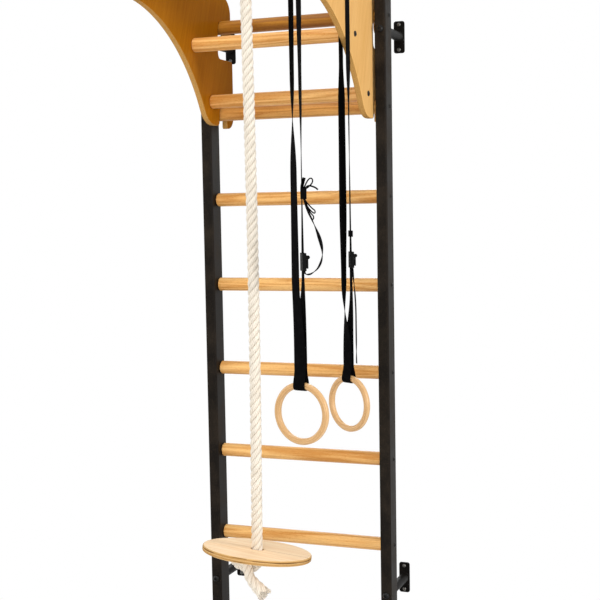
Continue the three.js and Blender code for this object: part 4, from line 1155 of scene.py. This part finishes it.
# A dark line in the seat's face veneer runs from the hole to the rim, and short gaps show along the rim.
STREAK_SIDE = 0.004
STREAK_HALF = 0.0016
seat_tree = birch_ply.node_tree
seat_shader = seat_tree.nodes["Principled BSDF"]
seat_point = seat_local(seat_tree, object_place(seat_tree))
seat_parts = add_node(seat_tree, "ShaderNodeSeparateXYZ", {0: seat_point})
off_streak = math_node(seat_tree, "SUBTRACT", seat_parts.outputs["Y"], STREAK_SIDE)
streak = remapped(seat_tree, math_node(seat_tree, "ABSOLUTE", off_streak), STREAK_HALF, 0.3 * STREAK_HALF)
past_hole = remapped(seat_tree, seat_parts.outputs["X"], SEAT_HOLE, 2 * SEAT_HOLE, 0.0, 0.75)
streak = math_node(seat_tree, "MULTIPLY", streak, past_hole)
seat_colour = seat_shader.inputs["Base Color"].links[0].from_socket
seat_colour = mixed(seat_tree, streak, seat_colour, srgb(132, 92, 54))
seat_gap = add_node(
    seat_tree, "ShaderNodeTexNoise",
    {"Vector": stretched(seat_tree, seat_point, (11, 11, 260)), "Scale": 1.0, "Detail": 0.0},
)
near_rim = math_node(
    seat_tree, "SQRT",
    math_node(
        seat_tree, "MULTIPLY_ADD", seat_parts.outputs["X"], seat_parts.outputs["X"],
        math_node(seat_tree, "MULTIPLY", seat_parts.outputs["Y"], seat_parts.outputs["Y"]),
    ),
)
gap_share = remapped(seat_tree, seat_gap.outputs[0], 0.63, 0.67, 0.0, 0.8)
gap_share = math_node(seat_tree, "MULTIPLY", gap_share, remapped(seat_tree, near_rim, 0.160, 0.1615))
seat_colour = mixed(seat_tree, gap_share, seat_colour, srgb(74, 42, 16))
seat_tree.links.new(seat_colour, seat_shader.inputs["Base Color"])


def turned_ring(bm, profile, steps):
    verts = [bm.verts.new((radius, 0, height)) for radius, height in profile]
    edges = [bm.edges.new((verts[i], verts[(i + 1) % len(verts)])) for i in range(len(verts))]
    bmesh.ops.spin(
        bm, geom=verts + edges, cent=(0, 0, 0), axis=(0, 0, 1), angle=2 * math.pi, steps=steps,
        use_merge=True,
    )
    bmesh.ops.remove_doubles(bm, verts=bm.verts, dist=1e-6)


seat_bm = bmesh.new()
seat_profile = []
for corner_radius, corner_height, start, round_radius in (
    (SEAT_RADIUS - SEAT_ROUND, SEAT_HALF - SEAT_ROUND, 90, SEAT_ROUND),
    (SEAT_RADIUS - SEAT_ROUND, SEAT_ROUND - SEAT_HALF, 0, SEAT_ROUND),
    (SEAT_HOLE + 0.002, 0.002 - SEAT_HALF, 270, 0.002),
    (SEAT_HOLE + 0.002, SEAT_HALF - 0.002, 180, 0.002),
):
    for step in range(7):
        angle = math.radians(start - 15 * step)
        seat_profile.append(
            (corner_radius + round_radius * math.cos(angle), corner_height + round_radius * math.sin(angle))
        )
turned_ring(seat_bm, seat_profile, 112)
bmesh.ops.transform(seat_bm, matrix=seat_place, verts=seat_bm.verts)
make_piece("plywood_seat", seat_bm, birch_ply, "seat", ["seat"])


# Stopper knot: under the seat the rope's lower end is taken round in a hitch. Its loop stands out
# to the left, the end crosses it in front and hangs free, and the last yarns are unlaid and brushed.
KNOT_ROPE = 0.031
KNOT_LAY = 0.085
KNOT_ROUTE = [
    (0.000, 0.000, 0.002), (0.001, 0.003, -0.014), (0.001, 0.012, -0.033), (-0.016, 0.020, -0.051),
    (-0.040, 0.018, -0.054), (-0.061, 0.003, -0.043), (-0.059, -0.014, -0.029), (-0.040, -0.022, -0.0255),
    (-0.021, -0.023, -0.034), (-0.013, -0.022, -0.054), (-0.007, -0.017, -0.074), (0.007, -0.010, -0.092),
    (0.021, -0.005, -0.105), (0.032, -0.002, -0.114),
]
TAIL_WIDTH = 0.041
TAIL_FROM = 0.74
YARN_COUNT = 150
YARN_RADIUS = 0.0011

knot_route = smooth_route([Vector(point) for point in KNOT_ROUTE], 8)
knot_sizes = []
for index in range(len(knot_route)):
    opened = max(0.0, (index / (len(knot_route) - 1) - TAIL_FROM) / (1 - TAIL_FROM))
    knot_sizes.append(KNOT_ROPE + (TAIL_WIDTH - KNOT_ROPE) * opened * opened * (3 - 2 * opened))
knot_bm, knot_cleft, knot_uv = new_rope_mesh()
laid_rope(
    knot_bm, [seat_place @ point for point in knot_route], knot_sizes, KNOT_LAY, 0.3, knot_cleft, knot_uv
)
yarn_draw = random.Random(31)
tail_end = knot_route[-1]
tail_along = (tail_end - knot_route[-6]).normalized()
tail_side = tail_along.orthogonal().normalized()
tail_up = tail_along.cross(tail_side)
for yarn in range(YARN_COUNT):
    angle = yarn_draw.uniform(0, 2 * math.pi)
    spread = math.sqrt(yarn_draw.uniform(0, 1))
    outward = tail_side * math.cos(angle) + tail_up * math.sin(angle)
    root = tail_end + outward * 0.46 * TAIL_WIDTH * spread
    reach = yarn_draw.uniform(0.004, 0.017)
    stray = Vector((yarn_draw.uniform(-1, 1), yarn_draw.uniform(-1, 1), yarn_draw.uniform(-1, 0.2))) * 0.0035
    end = root + tail_along * reach + outward * 0.22 * reach * spread + stray
    start = root - tail_along * 0.016 - outward * 0.004 * spread
    middle = root.lerp(end, 0.5) + stray * 0.3
    yarn_points = [seat_place @ point for point in smooth_route([start, root, middle, end], 3)]
    sweep_tube(knot_bm, yarn_points, [YARN_RADIUS] * len(yarn_points), 5, knot_cleft, None, knot_uv)
knot = make_piece(
    "stopper_knot", knot_bm, cotton, "rope", ["rope_knot"], sharp=80, even=False
)


# Gym rings: laminated birch bent round, sanded smooth and waxed.
# Each hangs in the loop of its strap and is turned a little to the wall.
STRAP_X = 0.279
RING_RADIUS = 0.0805
RING_TUBE = 0.010
RING_FACE = 0.0092
SQUARENESS = 5
TUBE_SIDES = 40
STRAPS = {
    "front": {
        "y": -0.890, "pivot": 2.231, "loop": 1.0925, "ring": 1.014, "turn": -12, "buckle": 1.443,
        "outer": [(0, -90), (0.2, -82), (0.45, -67), (0.7, -59), (0.93, -12), (1, -12)],
        "inner": [(0, -90), (0.2, -86), (0.45, -42), (0.75, -36), (0.93, -12), (1, -12)],
    },
    "rear": {
        "y": -0.474, "pivot": 2.09853, "loop": 1.0575, "ring": 0.979, "turn": -28, "buckle": 1.432,
        "outer": [(0, -90), (0.15, -76), (0.45, -66), (0.7, -60), (0.93, -28), (1, -28)],
        "inner": [(0, -90), (0.12, -103), (0.45, -106), (0.68, -95), (0.93, -28), (1, -28)],
    },
}


def ring_finish(name, centre, turn):
    finish, tree, shader = new_finish(name)
    local = add_node(
        tree, "ShaderNodeMapping",
        {"Vector": object_place(tree), "Location": centre, "Rotation": (0, 0, math.radians(turn))},
        vector_type="TEXTURE",
    ).outputs[0]
    parts = add_node(tree, "ShaderNodeSeparateXYZ", {0: local})
    squares = math_node(tree, "MULTIPLY", parts.outputs["X"], parts.outputs["X"])
    squares = math_node(tree, "MULTIPLY_ADD", parts.outputs["Z"], parts.outputs["Z"], squares)
    off_centre = math_node(tree, "SQRT", squares)
    round_share = add_node(
        tree, "ShaderNodeMath", {0: parts.outputs["Z"], 1: parts.outputs["X"]}, operation="ARCTAN2"
    ).outputs[0]
    along = add_node(
        tree, "ShaderNodeCombineXYZ",
        {0: math_node(tree, "MULTIPLY", round_share, RING_RADIUS), 1: off_centre, 2: parts.outputs["Y"]},
    ).outputs[0]
    depth = math_node(tree, "SUBTRACT", off_centre, RING_RADIUS - RING_TUBE)
    layers = use_group(tree, ply_group, {"Depth": depth, "Board": 2 * RING_TUBE, "Plies": 7.0})
    grain = use_group(
        tree, grain_group,
        {"Vector": along, "Pale": srgb(222, 182, 130), "Dark": srgb(182, 134, 74), "Figure": 0.14,
         "Pores": 0.5},
    )
    colour = mixed(
        tree, math_node(tree, "MULTIPLY", layers["Tone"], 0.40), grain["Color"], srgb(186, 136, 74)
    )
    colour = mixed(tree, math_node(tree, "MULTIPLY", layers["Glue"], 0.55), colour, srgb(146, 98, 48))
    tree.links.new(colour, shader.inputs["Base Color"])
    tree.links.new(grain["Roughness"], shader.inputs["Roughness"])
    set_bump(tree, shader, grain["Height"], 0.25, 0.0002)
    shader.inputs["Coat Weight"].default_value = 0.2
    shader.inputs["Coat Roughness"].default_value = 0.25
    return finish


for strap, spec in STRAPS.items():
    ring_bm = bmesh.new()
    tube = []
    for step in range(TUBE_SIDES):
        angle = 2 * math.pi * (step + 0.5) / TUBE_SIDES
        squared = (abs(math.cos(angle)) ** SQUARENESS + abs(math.sin(angle)) ** SQUARENESS) ** (-1 / SQUARENESS)
        reach = min(RING_TUBE, RING_FACE * squared)
        tube.append((RING_RADIUS + reach * math.cos(angle), reach * math.sin(angle)))
    turned_ring(ring_bm, tube, 96)
    ring_centre = (STRAP_X, spec["y"], spec["ring"])
    upright = Matrix.Rotation(math.radians(spec["turn"]), 4, "Z") @ Matrix.Rotation(math.pi / 2, 4, "X")
    bmesh.ops.transform(ring_bm, matrix=Matrix.Translation(ring_centre) @ upright, verts=ring_bm.verts)
    ring_wood = ring_finish(f"{strap}_ring_birch", ring_centre, spec["turn"])
    make_piece(
        f"{strap}_gym_ring", ring_bm, ring_wood, f"{strap}_ring", [f"{strap}_ring"],
        sharp=60, even=False,
    )


# Straps: one long loop of black woven webbing for each ring, 38 mm wide.
# It lies over the right side plate, hangs on both faces, twists and goes round the ring.
STRAP_HALF_WIDTH = 0.019
STRAP_HALF_THICKNESS = 0.001
LEG_OFFSET = SIDE_THICKNESS / 2 + 0.0004 + STRAP_HALF_THICKNESS
LOOP_RADIUS = 0.0125
STRAP_PARALLEL = 0.060
LEGS_CLOSED = 0.004
LEG_SPREAD = [(0, LEG_OFFSET), (0.72, LEG_OFFSET), (0.92, LEGS_CLOSED)]
LOOP_SPREAD_RISE = 0.045
LEG_STEPS = 160
WEB_COLUMNS = 8


def flat(degrees):
    angle = math.radians(degrees)
    return Vector((math.cos(angle), math.sin(angle), 0))


def table_at(table, share):
    before = table[0]
    for stop in table:
        if share <= stop[0]:
            span = stop[0] - before[0]
            part = (share - before[0]) / span if span > 0 else 0.0
            return before[1] + (stop[1] - before[1]) * part * part * (3 - 2 * part)
        before = stop
    return before[1]


def leg_station(spec, sign, z):
    start = spec["pivot"] - STRAP_PARALLEL
    share = 0.0 if z > start else (start - z) / (start - spec["loop"])
    own = table_at(spec["outer" if sign > 0 else "inner"], share)
    other = table_at(spec["inner" if sign > 0 else "outer"], share)
    apart = table_at(LEG_SPREAD, share)
    rise = z - spec["loop"]
    if rise < LOOP_SPREAD_RISE:
        apart += (LOOP_RADIUS - LEGS_CLOSED) * math.cos(math.pi / 2 * rise / LOOP_SPREAD_RISE) ** 2
    place = Vector((STRAP_X, spec["y"], z)) + flat((own + other) / 2 + 90) * sign * apart
    return place, flat(own), flat(own + 90), own


def web_ribbon(bm, stations, half_width, half_thickness, uv, cup=0.0, closed=False):
    """A woven band along stations of place, width direction and outward direction."""
    columns = [2 * step / WEB_COLUMNS - 1 for step in range(WEB_COLUMNS + 1)]
    outline = [(c, 1) for c in columns] + [(c, -1) for c in reversed(columns)]
    rings = []
    runs = [0.0]
    for index, (place, across, out) in enumerate(stations):
        if index:
            runs.append(runs[-1] + (place - stations[index - 1][0]).length)
        ring = []
        for column, face_side in outline:
            edge = half_thickness * (0.55 if abs(column) > 0.99 else 1.0)
            bow = cup * (column * column - 0.33)
            ring.append(bm.verts.new(
                place + across * column * half_width + out * (face_side * edge + bow)
            ))
        rings.append(ring)
    count = len(outline)
    last = len(rings) if closed else len(rings) - 1
    length = runs[-1] + ((stations[0][0] - stations[-1][0]).length if closed else 0.0)
    for index in range(last):
        following = rings[(index + 1) % len(rings)]
        run_end = runs[index + 1] if index + 1 < len(runs) else length
        for step in range(count):
            after = (step + 1) % count
            face = bm.faces.new((rings[index][step], rings[index][after], following[after], following[step]))
            shares = (outline[step][0], outline[after][0], outline[after][0], outline[step][0])
            heights = (runs[index], runs[index], run_end, run_end)
            for loop, share, height in zip(face.loops, shares, heights):
                loop[uv].uv = (share * half_width, height)
    if not closed:
        bm.faces.new(list(reversed(rings[0])))
        bm.faces.new(rings[-1])


# The weave group reads a band's UV in metres: ribs across, warp columns along, firm selvedges.
weave_group, weave_in, weave_out = new_group(
    "webbing_weave",
    [("Vector", "NodeSocketVector"), ("Rib", "NodeSocketFloat"), ("Column", "NodeSocketFloat"),
     ("Pale", "NodeSocketColor"), ("Dark", "NodeSocketColor"), ("Half", "NodeSocketFloat")],
    [("Color", "NodeSocketColor"), ("Height", "NodeSocketFloat")],
)
weave_parts = add_node(weave_group, "ShaderNodeSeparateXYZ", {0: weave_in.outputs["Vector"]})
columns_run = math_node(weave_group, "DIVIDE", weave_parts.outputs["X"], weave_in.outputs["Column"])
column_odd = math_node(
    weave_group, "MODULO", math_node(weave_group, "ADD", math_node(weave_group, "FLOOR", columns_run), 100.0), 2.0
)
rib_run = math_node(weave_group, "DIVIDE", weave_parts.outputs["Y"], weave_in.outputs["Rib"])
rib_run = math_node(weave_group, "MULTIPLY_ADD", column_odd, 0.5, rib_run)
rib = math_node(weave_group, "PINGPONG", rib_run, 0.5)
rib = remapped(weave_group, rib, 0.05, 0.38)
column = math_node(weave_group, "PINGPONG", columns_run, 0.5)
column = remapped(weave_group, column, 0.02, 0.30)
thread = math_node(weave_group, "MULTIPLY", rib, column)
to_edge = math_node(
    weave_group, "SUBTRACT", weave_in.outputs["Half"],
    math_node(weave_group, "ABSOLUTE", weave_parts.outputs["X"]),
)
selvedge = remapped(weave_group, to_edge, 0.0030, 0.0024)
thread_height = math_node(weave_group, "MULTIPLY_ADD", selvedge, 0.5, thread)
wear_noise = add_node(
    weave_group, "ShaderNodeTexNoise",
    {"Vector": weave_in.outputs["Vector"], "Scale": 60.0, "Detail": 4.0, "Roughness": 0.6},
)
worn = remapped(weave_group, wear_noise.outputs[0], 0.45, 0.75)
weave_light = math_node(weave_group, "MULTIPLY", thread, 0.6)
weave_light = math_node(weave_group, "MULTIPLY_ADD", worn, 0.4, weave_light)
weave_colour = mixed(weave_group, weave_light, weave_in.outputs["Dark"], weave_in.outputs["Pale"])
weave_group.links.new(weave_colour, weave_out.inputs["Color"])
weave_group.links.new(thread_height, weave_out.inputs["Height"])


def webbing_finish(name, dark, pale, half):
    finish, tree, shader = new_finish(name)
    uv = add_node(tree, "ShaderNodeUVMap", uv_map="UVMap").outputs[0]
    weave = use_group(
        tree, weave_group,
        {"Vector": uv, "Rib": 0.0026, "Column": 0.0021, "Dark": dark, "Pale": pale, "Half": half},
    )
    tree.links.new(weave["Color"], shader.inputs["Base Color"])
    shader.inputs["Roughness"].default_value = 0.85
    shader.inputs["Specular IOR Level"].default_value = 0.015
    set_bump(tree, shader, weave["Height"], 0.6, 0.0004)
    return finish


black_web = webbing_finish("black_webbing", srgb(5, 5, 6), srgb(20, 19, 20), STRAP_HALF_WIDTH)


def top_edge_height(y):
    if y < NOSE_Y:
        return PULL_BAR_Z + math.sqrt(NOSE_RADIUS**2 - (y - NOSE_Y) ** 2)
    return TOP_Z + math.sqrt(TOP_EDGE_RADIUS**2 - (y - TOP_Y) ** 2)


def strap_stations(spec):
    """Stations of the closed loop: up the inner leg, over the plate, down the outer leg, round the ring."""
    y = spec["y"]
    crest = max(top_edge_height(y + share * STRAP_HALF_WIDTH) for share in (-1, 0, 1))
    top = crest + 0.0004 + STRAP_HALF_THICKNESS
    bend = SIDE_ROUND + 0.0004 + STRAP_HALF_THICKNESS
    across = Vector((0, -1, 0))
    stations = []
    for sign in (-1, 1):
        corner = []
        for step in range(7):
            angle = math.pi / 2 * step / 6
            out = Vector((sign * math.cos(angle), 0, math.sin(angle)))
            place = Vector((STRAP_X + sign * (LEG_OFFSET - bend), y, top - bend)) + out * bend
            corner.append((place, across, out))
        flat_run = []
        for step in range(6):
            z = spec["pivot"] + (top - bend - spec["pivot"]) * step / 6
            flat_run.append((Vector((STRAP_X + sign * LEG_OFFSET, y, z)), across, Vector((sign, 0, 0))))
        run = flat_run + corner
        stations += run if sign < 0 else list(reversed(run))
    for step in range(1, LEG_STEPS + 1):
        z = spec["pivot"] + (spec["loop"] - spec["pivot"]) * step / LEG_STEPS
        place, width, out, _ = leg_station(spec, 1, z)
        stations.append((place, width, out))
    width = flat(spec["turn"])
    sideways = flat(spec["turn"] + 90)
    for step in range(1, 16):
        angle = math.pi * step / 16
        out = sideways * math.cos(angle) - Vector((0, 0, math.sin(angle)))
        stations.append((Vector((STRAP_X, y, spec["loop"])) + out * LOOP_RADIUS, width, out))
    for step in range(LEG_STEPS, 0, -1):
        z = spec["pivot"] + (spec["loop"] - spec["pivot"]) * step / LEG_STEPS
        place, width, out, _ = leg_station(spec, -1, z)
        stations.append((place, width, -out))
    return stations


for strap, spec in STRAPS.items():
    strap_bm = bmesh.new()
    strap_uv = strap_bm.loops.layers.uv.new("UVMap")
    web_ribbon(
        strap_bm, strap_stations(spec), STRAP_HALF_WIDTH, STRAP_HALF_THICKNESS, strap_uv, closed=True
    )
    strap_piece = make_piece(
        f"{strap}_webbing_strap", strap_bm, black_web, None,
        [f"{strap}_strap_saddle", f"{strap}_strap"], sharp=50, even=False,
    )
    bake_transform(strap_piece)


# Cam buckles: a cast frame on the outer leg of each strap, with a sprung lever that bites the
# webbing. The lever turns on a pin between two ears.
BUCKLE_WIDTH = 0.046
BUCKLE_HEIGHT = 0.050
BUCKLE_BACK = -0.0041
BUCKLE_FACE = 0.0069
LEVER_Y = 0.0117
LEVER_RISE = 0.013
LEVER_WIDTH = 0.032
LEVER_LENGTH = 0.032
LEVER_BARREL = 0.0045
LEVER_BLADE = 0.0015
EAR_THICKNESS = 0.003

buckle_metal = coated_finish(
    "black_cast_metal", srgb(6, 6, 6), srgb(18, 17, 17), 0.5, 1800.0, 0.00008, 0.0, 0.06
)


def buckle_frame(bm):
    body = bmesh.ops.create_cube(bm, size=1.0)["verts"]
    bmesh.ops.scale(bm, vec=(BUCKLE_WIDTH, BUCKLE_FACE - BUCKLE_BACK, BUCKLE_HEIGHT), verts=body)
    bmesh.ops.translate(bm, vec=(0, (BUCKLE_FACE + BUCKLE_BACK) / 2, 0), verts=body)
    uprights = [e for e in bm.edges if abs(e.verts[0].co.z - e.verts[1].co.z) > 0.01]
    bmesh.ops.bevel(
        bm, geom=uprights, offset=0.002, offset_type="OFFSET", segments=3, profile=0.5,
        affect="EDGES", material=-1,
    )
    bm.faces.ensure_lookup_table()
    front = [f for f in bm.faces if f.normal.y > 0.99][0]
    bmesh.ops.inset_individual(bm, faces=[front], thickness=0.006, depth=0.0)
    pocket = [f for f in bm.faces if f.normal.y > 0.99 and abs(f.calc_center_median().x) < 1e-4
              and abs(f.calc_center_median().z) < 1e-4]
    pocket = min(pocket, key=lambda f: f.calc_area())
    bmesh.ops.translate(bm, vec=(0, -0.0022, 0), verts=pocket.verts)
    for normal_z in (1, -1):
        end = [f for f in bm.faces if f.normal.z * normal_z > 0.99][0]
        bmesh.ops.inset_individual(bm, faces=[end], thickness=0.0026, depth=0.0)
        bmesh.ops.translate(bm, vec=(0, 0, -normal_z * 0.006), verts=end.verts)
    for sign in (-1, 1):
        centre = (sign * (LEVER_WIDTH / 2 + 0.0005 + EAR_THICKNESS / 2), LEVER_Y, LEVER_RISE)
        bmesh.ops.create_cone(
            bm, cap_ends=True, segments=28, radius1=LEVER_BARREL + 0.001,
            radius2=LEVER_BARREL + 0.001, depth=EAR_THICKNESS,
            matrix=Matrix.Translation(centre) @ Matrix.Rotation(math.pi / 2, 4, "Y"),
        )
        pin = (sign * (LEVER_WIDTH / 2 + 0.0005 + EAR_THICKNESS), LEVER_Y, LEVER_RISE)
        bmesh.ops.create_cone(
            bm, cap_ends=True, segments=20, radius1=0.0024, radius2=0.0018, depth=0.0014,
            matrix=Matrix.Translation(pin) @ Matrix.Rotation(sign * math.pi / 2, 4, "Y"),
        )


def buckle_lever(bm):
    pen = bm.verts.new((-LEVER_WIDTH / 2, LEVER_Y + LEVER_BLADE, LEVER_RISE))
    first = pen
    pen = line_to(bm, pen, LEVER_Y + LEVER_BLADE, LEVER_RISE - LEVER_LENGTH + 0.0015)
    pen = arc_to(bm, pen, LEVER_Y, LEVER_RISE - LEVER_LENGTH + 0.0015, 0, -math.pi, 8)
    pen = line_to(bm, pen, LEVER_Y - LEVER_BLADE, LEVER_RISE - 0.0042)
    reach = math.hypot(LEVER_BLADE, 0.0042)
    start = math.atan2(-0.0042, -LEVER_BLADE)
    finish_angle = math.atan2(-0.0042, LEVER_BLADE) - 2 * math.pi
    pen = arc_to(bm, pen, LEVER_Y, LEVER_RISE, start, finish_angle, 26)
    bm.verts.remove(first)
    tips = [v for v in bm.verts if len(v.link_edges) == 1]
    bm.edges.new(tips)
    bmesh.ops.contextual_create(bm, geom=bm.edges[:])
    made = bmesh.ops.extrude_face_region(bm, geom=bm.faces[:])["geom"]
    bmesh.ops.translate(
        bm, vec=(LEVER_WIDTH, 0, 0), verts=[g for g in made if isinstance(g, bmesh.types.BMVert)]
    )
    rims = [e for e in bm.edges if abs(e.verts[0].co.x - e.verts[1].co.x) < 1e-7]
    bmesh.ops.bevel(
        bm, geom=rims, offset=0.0005, offset_type="OFFSET", segments=2, profile=0.5,
        affect="EDGES", material=-1,
    )
    for rib in range(5):
        rib_z = LEVER_RISE - 0.014 - 0.0032 * rib
        bmesh.ops.create_cone(
            bm, cap_ends=True, segments=10, radius1=0.0008, radius2=0.0008, depth=LEVER_WIDTH - 0.006,
            matrix=Matrix.Translation((0, LEVER_Y + LEVER_BLADE, rib_z)) @ Matrix.Rotation(math.pi / 2, 4, "Y"),
        )


for strap, spec in STRAPS.items():
    station, _, _, leg_angle = leg_station(spec, 1, spec["buckle"])
    on_leg = Matrix.Translation(station) @ Matrix.Rotation(math.radians(leg_angle), 4, "Z")
    frame_bm = bmesh.new()
    buckle_frame(frame_bm)
    bmesh.ops.transform(frame_bm, matrix=on_leg, verts=frame_bm.verts)
    make_piece(
        f"{strap}_cam_buckle", frame_bm, buckle_metal, f"{strap}_strap",
        [f"{strap}_buckle"],
    )
    lever_bm = bmesh.new()
    buckle_lever(lever_bm)
    bmesh.ops.transform(lever_bm, matrix=on_leg, verts=lever_bm.verts)
    make_piece(
        f"{strap}_cam_lever", lever_bm, buckle_metal, f"{strap}_lever",
        [f"{strap}_buckle_lever"],
    )


# Loose strap ends: the front one leaves the buckle's foot in a wide bow and comes back to the
# outer leg, where it is tied. The rear one hangs straight down outside its leg.
FRONT_BOW = [
    (0.0039, -0.0006), (0.0047, -0.006), (0.012, -0.011), (0.026, -0.007), (0.044, 0.008),
    (0.055, 0.034), (0.055, 0.064), (0.045, 0.102), (0.031, 0.136), (0.016, 0.170), (0.008, 0.200),
]
BOW_TIE_RISE = 0.180
BOW_TWIST = [(0, 0), (0.22, 2), (0.45, -19), (0.66, 4), (0.85, -16), (1, -16)]
REAR_TAIL_TWIST = [(0, 0), (0.3, -16), (0.75, -16), (1, -6)]
TAIL_START = 0.0039
TAIL_OFFSET = 0.014
REAR_TAIL = 0.300

front = STRAPS["front"]
foot_z = front["buckle"] - BUCKLE_HEIGHT / 2
foot, foot_across, foot_out, _ = leg_station(front, 1, foot_z)
tie, _, _, _ = leg_station(front, 1, front["buckle"] + BOW_TIE_RISE)
lean = (tie - foot).dot(foot_out) / (tie.z - foot.z)
bow_points = []
for reach, rise in FRONT_BOW:
    bow_points.append(foot + foot_out * (reach + lean * max(rise, 0.0)) + Vector((0, 0, rise)))
bow_route = smooth_route(bow_points, 6)
bow_stations = []
for index, point in enumerate(bow_route):
    along = (bow_route[min(index + 1, len(bow_route) - 1)] - bow_route[max(index - 1, 0)]).normalized()
    twist = math.radians(table_at(BOW_TWIST, index / (len(bow_route) - 1)))
    across = Matrix.Rotation(twist, 3, along) @ foot_across
    bow_stations.append((point, across, along.cross(across).normalized()))
bow_bm = bmesh.new()
bow_uv = bow_bm.loops.layers.uv.new("UVMap")
web_ribbon(bow_bm, bow_stations, STRAP_HALF_WIDTH, STRAP_HALF_THICKNESS, bow_uv)
make_piece(
    "front_loose_end", bow_bm, black_web, "front_strap", ["front_strap_tail"],
    sharp=50, even=False,
)

rear = STRAPS["rear"]
rear_foot_z = rear["buckle"] - BUCKLE_HEIGHT / 2
rear_foot, _, rear_out, rear_angle = leg_station(rear, 1, rear_foot_z)
rear_stations = []
REAR_STEPS = 40
for step in range(REAR_STEPS + 1):
    share = step / REAR_STEPS
    eased = math.sin(min(1.0, 2 * share) * math.pi / 2)
    place = rear_foot + rear_out * (TAIL_START + (TAIL_OFFSET - TAIL_START) * eased)
    place.z = rear_foot_z - FIT - REAR_TAIL * share
    turn = rear_angle + table_at(REAR_TAIL_TWIST, share)
    rear_stations.append((place, flat(turn), flat(turn + 90)))
rear_bm = bmesh.new()
rear_uv = rear_bm.loops.layers.uv.new("UVMap")
web_ribbon(rear_bm, rear_stations, STRAP_HALF_WIDTH, STRAP_HALF_THICKNESS, rear_uv)
make_piece(
    "rear_loose_end", rear_bm, black_web, "rear_strap", ["rear_strap_tail"],
    sharp=50, even=False,
)


# Ties: spare webbing is wound flat round the outer leg of each strap above its buckle.
# Narrow loops and ends of tape stand out of the front winding, above and below it.
TAPE_HALF_THICKNESS = 0.0005
TAPE_HALF_WIDTH = 0.0042
WINDING_SQUARENESS = 6
WINDING_STEPS = 48
FRONT_WINDING = {"z": 1.634, "turn": -68.8, "shift": 0.0045, "half": (0.0245, 0.0072), "height": 0.0155}
REAR_WINDING = {"z": 1.513, "turn": None, "shift": 0.0006, "half": (0.0215, 0.0034), "height": 0.0095}
WINDING_TURNS = 1.6
WINDING_GROWTH = 0.0018
# Tapes of the front winding: sideways and upward from its middle, half width, and lean of the tape.
FRONT_TAPES = [
    ([(0.000, 0.010), (0.008, 0.028), (0.0165, 0.040), (0.024, 0.041), (0.026, 0.032), (0.018, 0.021),
      (0.003, 0.010)], TAPE_HALF_WIDTH, 24),
    ([(0.002, 0.011), (0.014, 0.021), (0.031, 0.017), (0.041, 0.010)], TAPE_HALF_WIDTH, 30),
    ([(-0.004, 0.008), (-0.003, 0.022), (0.000, 0.034), (0.003, 0.044)], 0.009, 30),
    ([(0.000, -0.010), (0.010, -0.026), (0.022, -0.040), (0.031, -0.048), (0.031, -0.055), (0.024, -0.052),
      (0.012, -0.038), (0.000, -0.010)], TAPE_HALF_WIDTH, 22),
    ([(-0.001, -0.010), (0.008, -0.032), (0.018, -0.052), (0.027, -0.064), (0.026, -0.072), (0.019, -0.067),
      (0.008, -0.042), (-0.001, -0.010)], TAPE_HALF_WIDTH, 22),
]


def squared(value):
    return math.copysign(abs(value) ** (2 / WINDING_SQUARENESS), value)


def winding_place(strap_spec, tie):
    leg, _, _, own = leg_station(strap_spec, 1, tie["z"])
    turn = own if tie["turn"] is None else tie["turn"]
    across, side = flat(turn), flat(turn + 90)
    return leg + side * tie["shift"], across, side


def wind(bm, uv, middle, across, side, tie):
    stations = []
    steps = round(WINDING_STEPS * WINDING_TURNS)
    for step in range(steps + 1):
        angle = 2 * math.pi * step / WINDING_STEPS
        grown = WINDING_GROWTH * step / steps
        along, over = squared(math.cos(angle)), squared(math.sin(angle))
        place = middle + across * (tie["half"][0] + grown) * along + side * (tie["half"][1] + grown) * over
        out = (across * along**5 * tie["half"][1] + side * over**5 * tie["half"][0]).normalized()
        stations.append((place, Vector((0, 0, 1)), out))
    web_ribbon(bm, stations, tie["height"], TAPE_HALF_THICKNESS, uv)


front_tie_bm = bmesh.new()
front_tie_uv = front_tie_bm.loops.layers.uv.new("UVMap")
tie_middle, tie_across, tie_side = winding_place(front, FRONT_WINDING)
wind(front_tie_bm, front_tie_uv, tie_middle, tie_across, tie_side, FRONT_WINDING)
for tape_points, tape_half, tape_lean in FRONT_TAPES:
    tape_route = smooth_route(
        [tie_middle + tie_side * over + Vector((0, 0, rise)) for over, rise in tape_points], 7
    )
    tape_stations = []
    for index, point in enumerate(tape_route):
        before = tape_route[max(index - 1, 0)]
        after = tape_route[min(index + 1, len(tape_route) - 1)]
        along = (after - before).normalized()
        width = Matrix.Rotation(math.radians(tape_lean), 3, along) @ tie_across
        tape_stations.append((point, width, along.cross(width).normalized()))
    web_ribbon(front_tie_bm, tape_stations, tape_half, TAPE_HALF_THICKNESS, front_tie_uv)
make_piece("front_strap_tie", front_tie_bm, black_web, "front_strap", sharp=50, even=False)

rear_tie_bm = bmesh.new()
rear_tie_uv = rear_tie_bm.loops.layers.uv.new("UVMap")
wind(rear_tie_bm, rear_tie_uv, *winding_place(rear, REAR_WINDING), REAR_WINDING)
make_piece("rear_strap_tie", rear_tie_bm, black_web, "rear_strap", sharp=50, even=False)
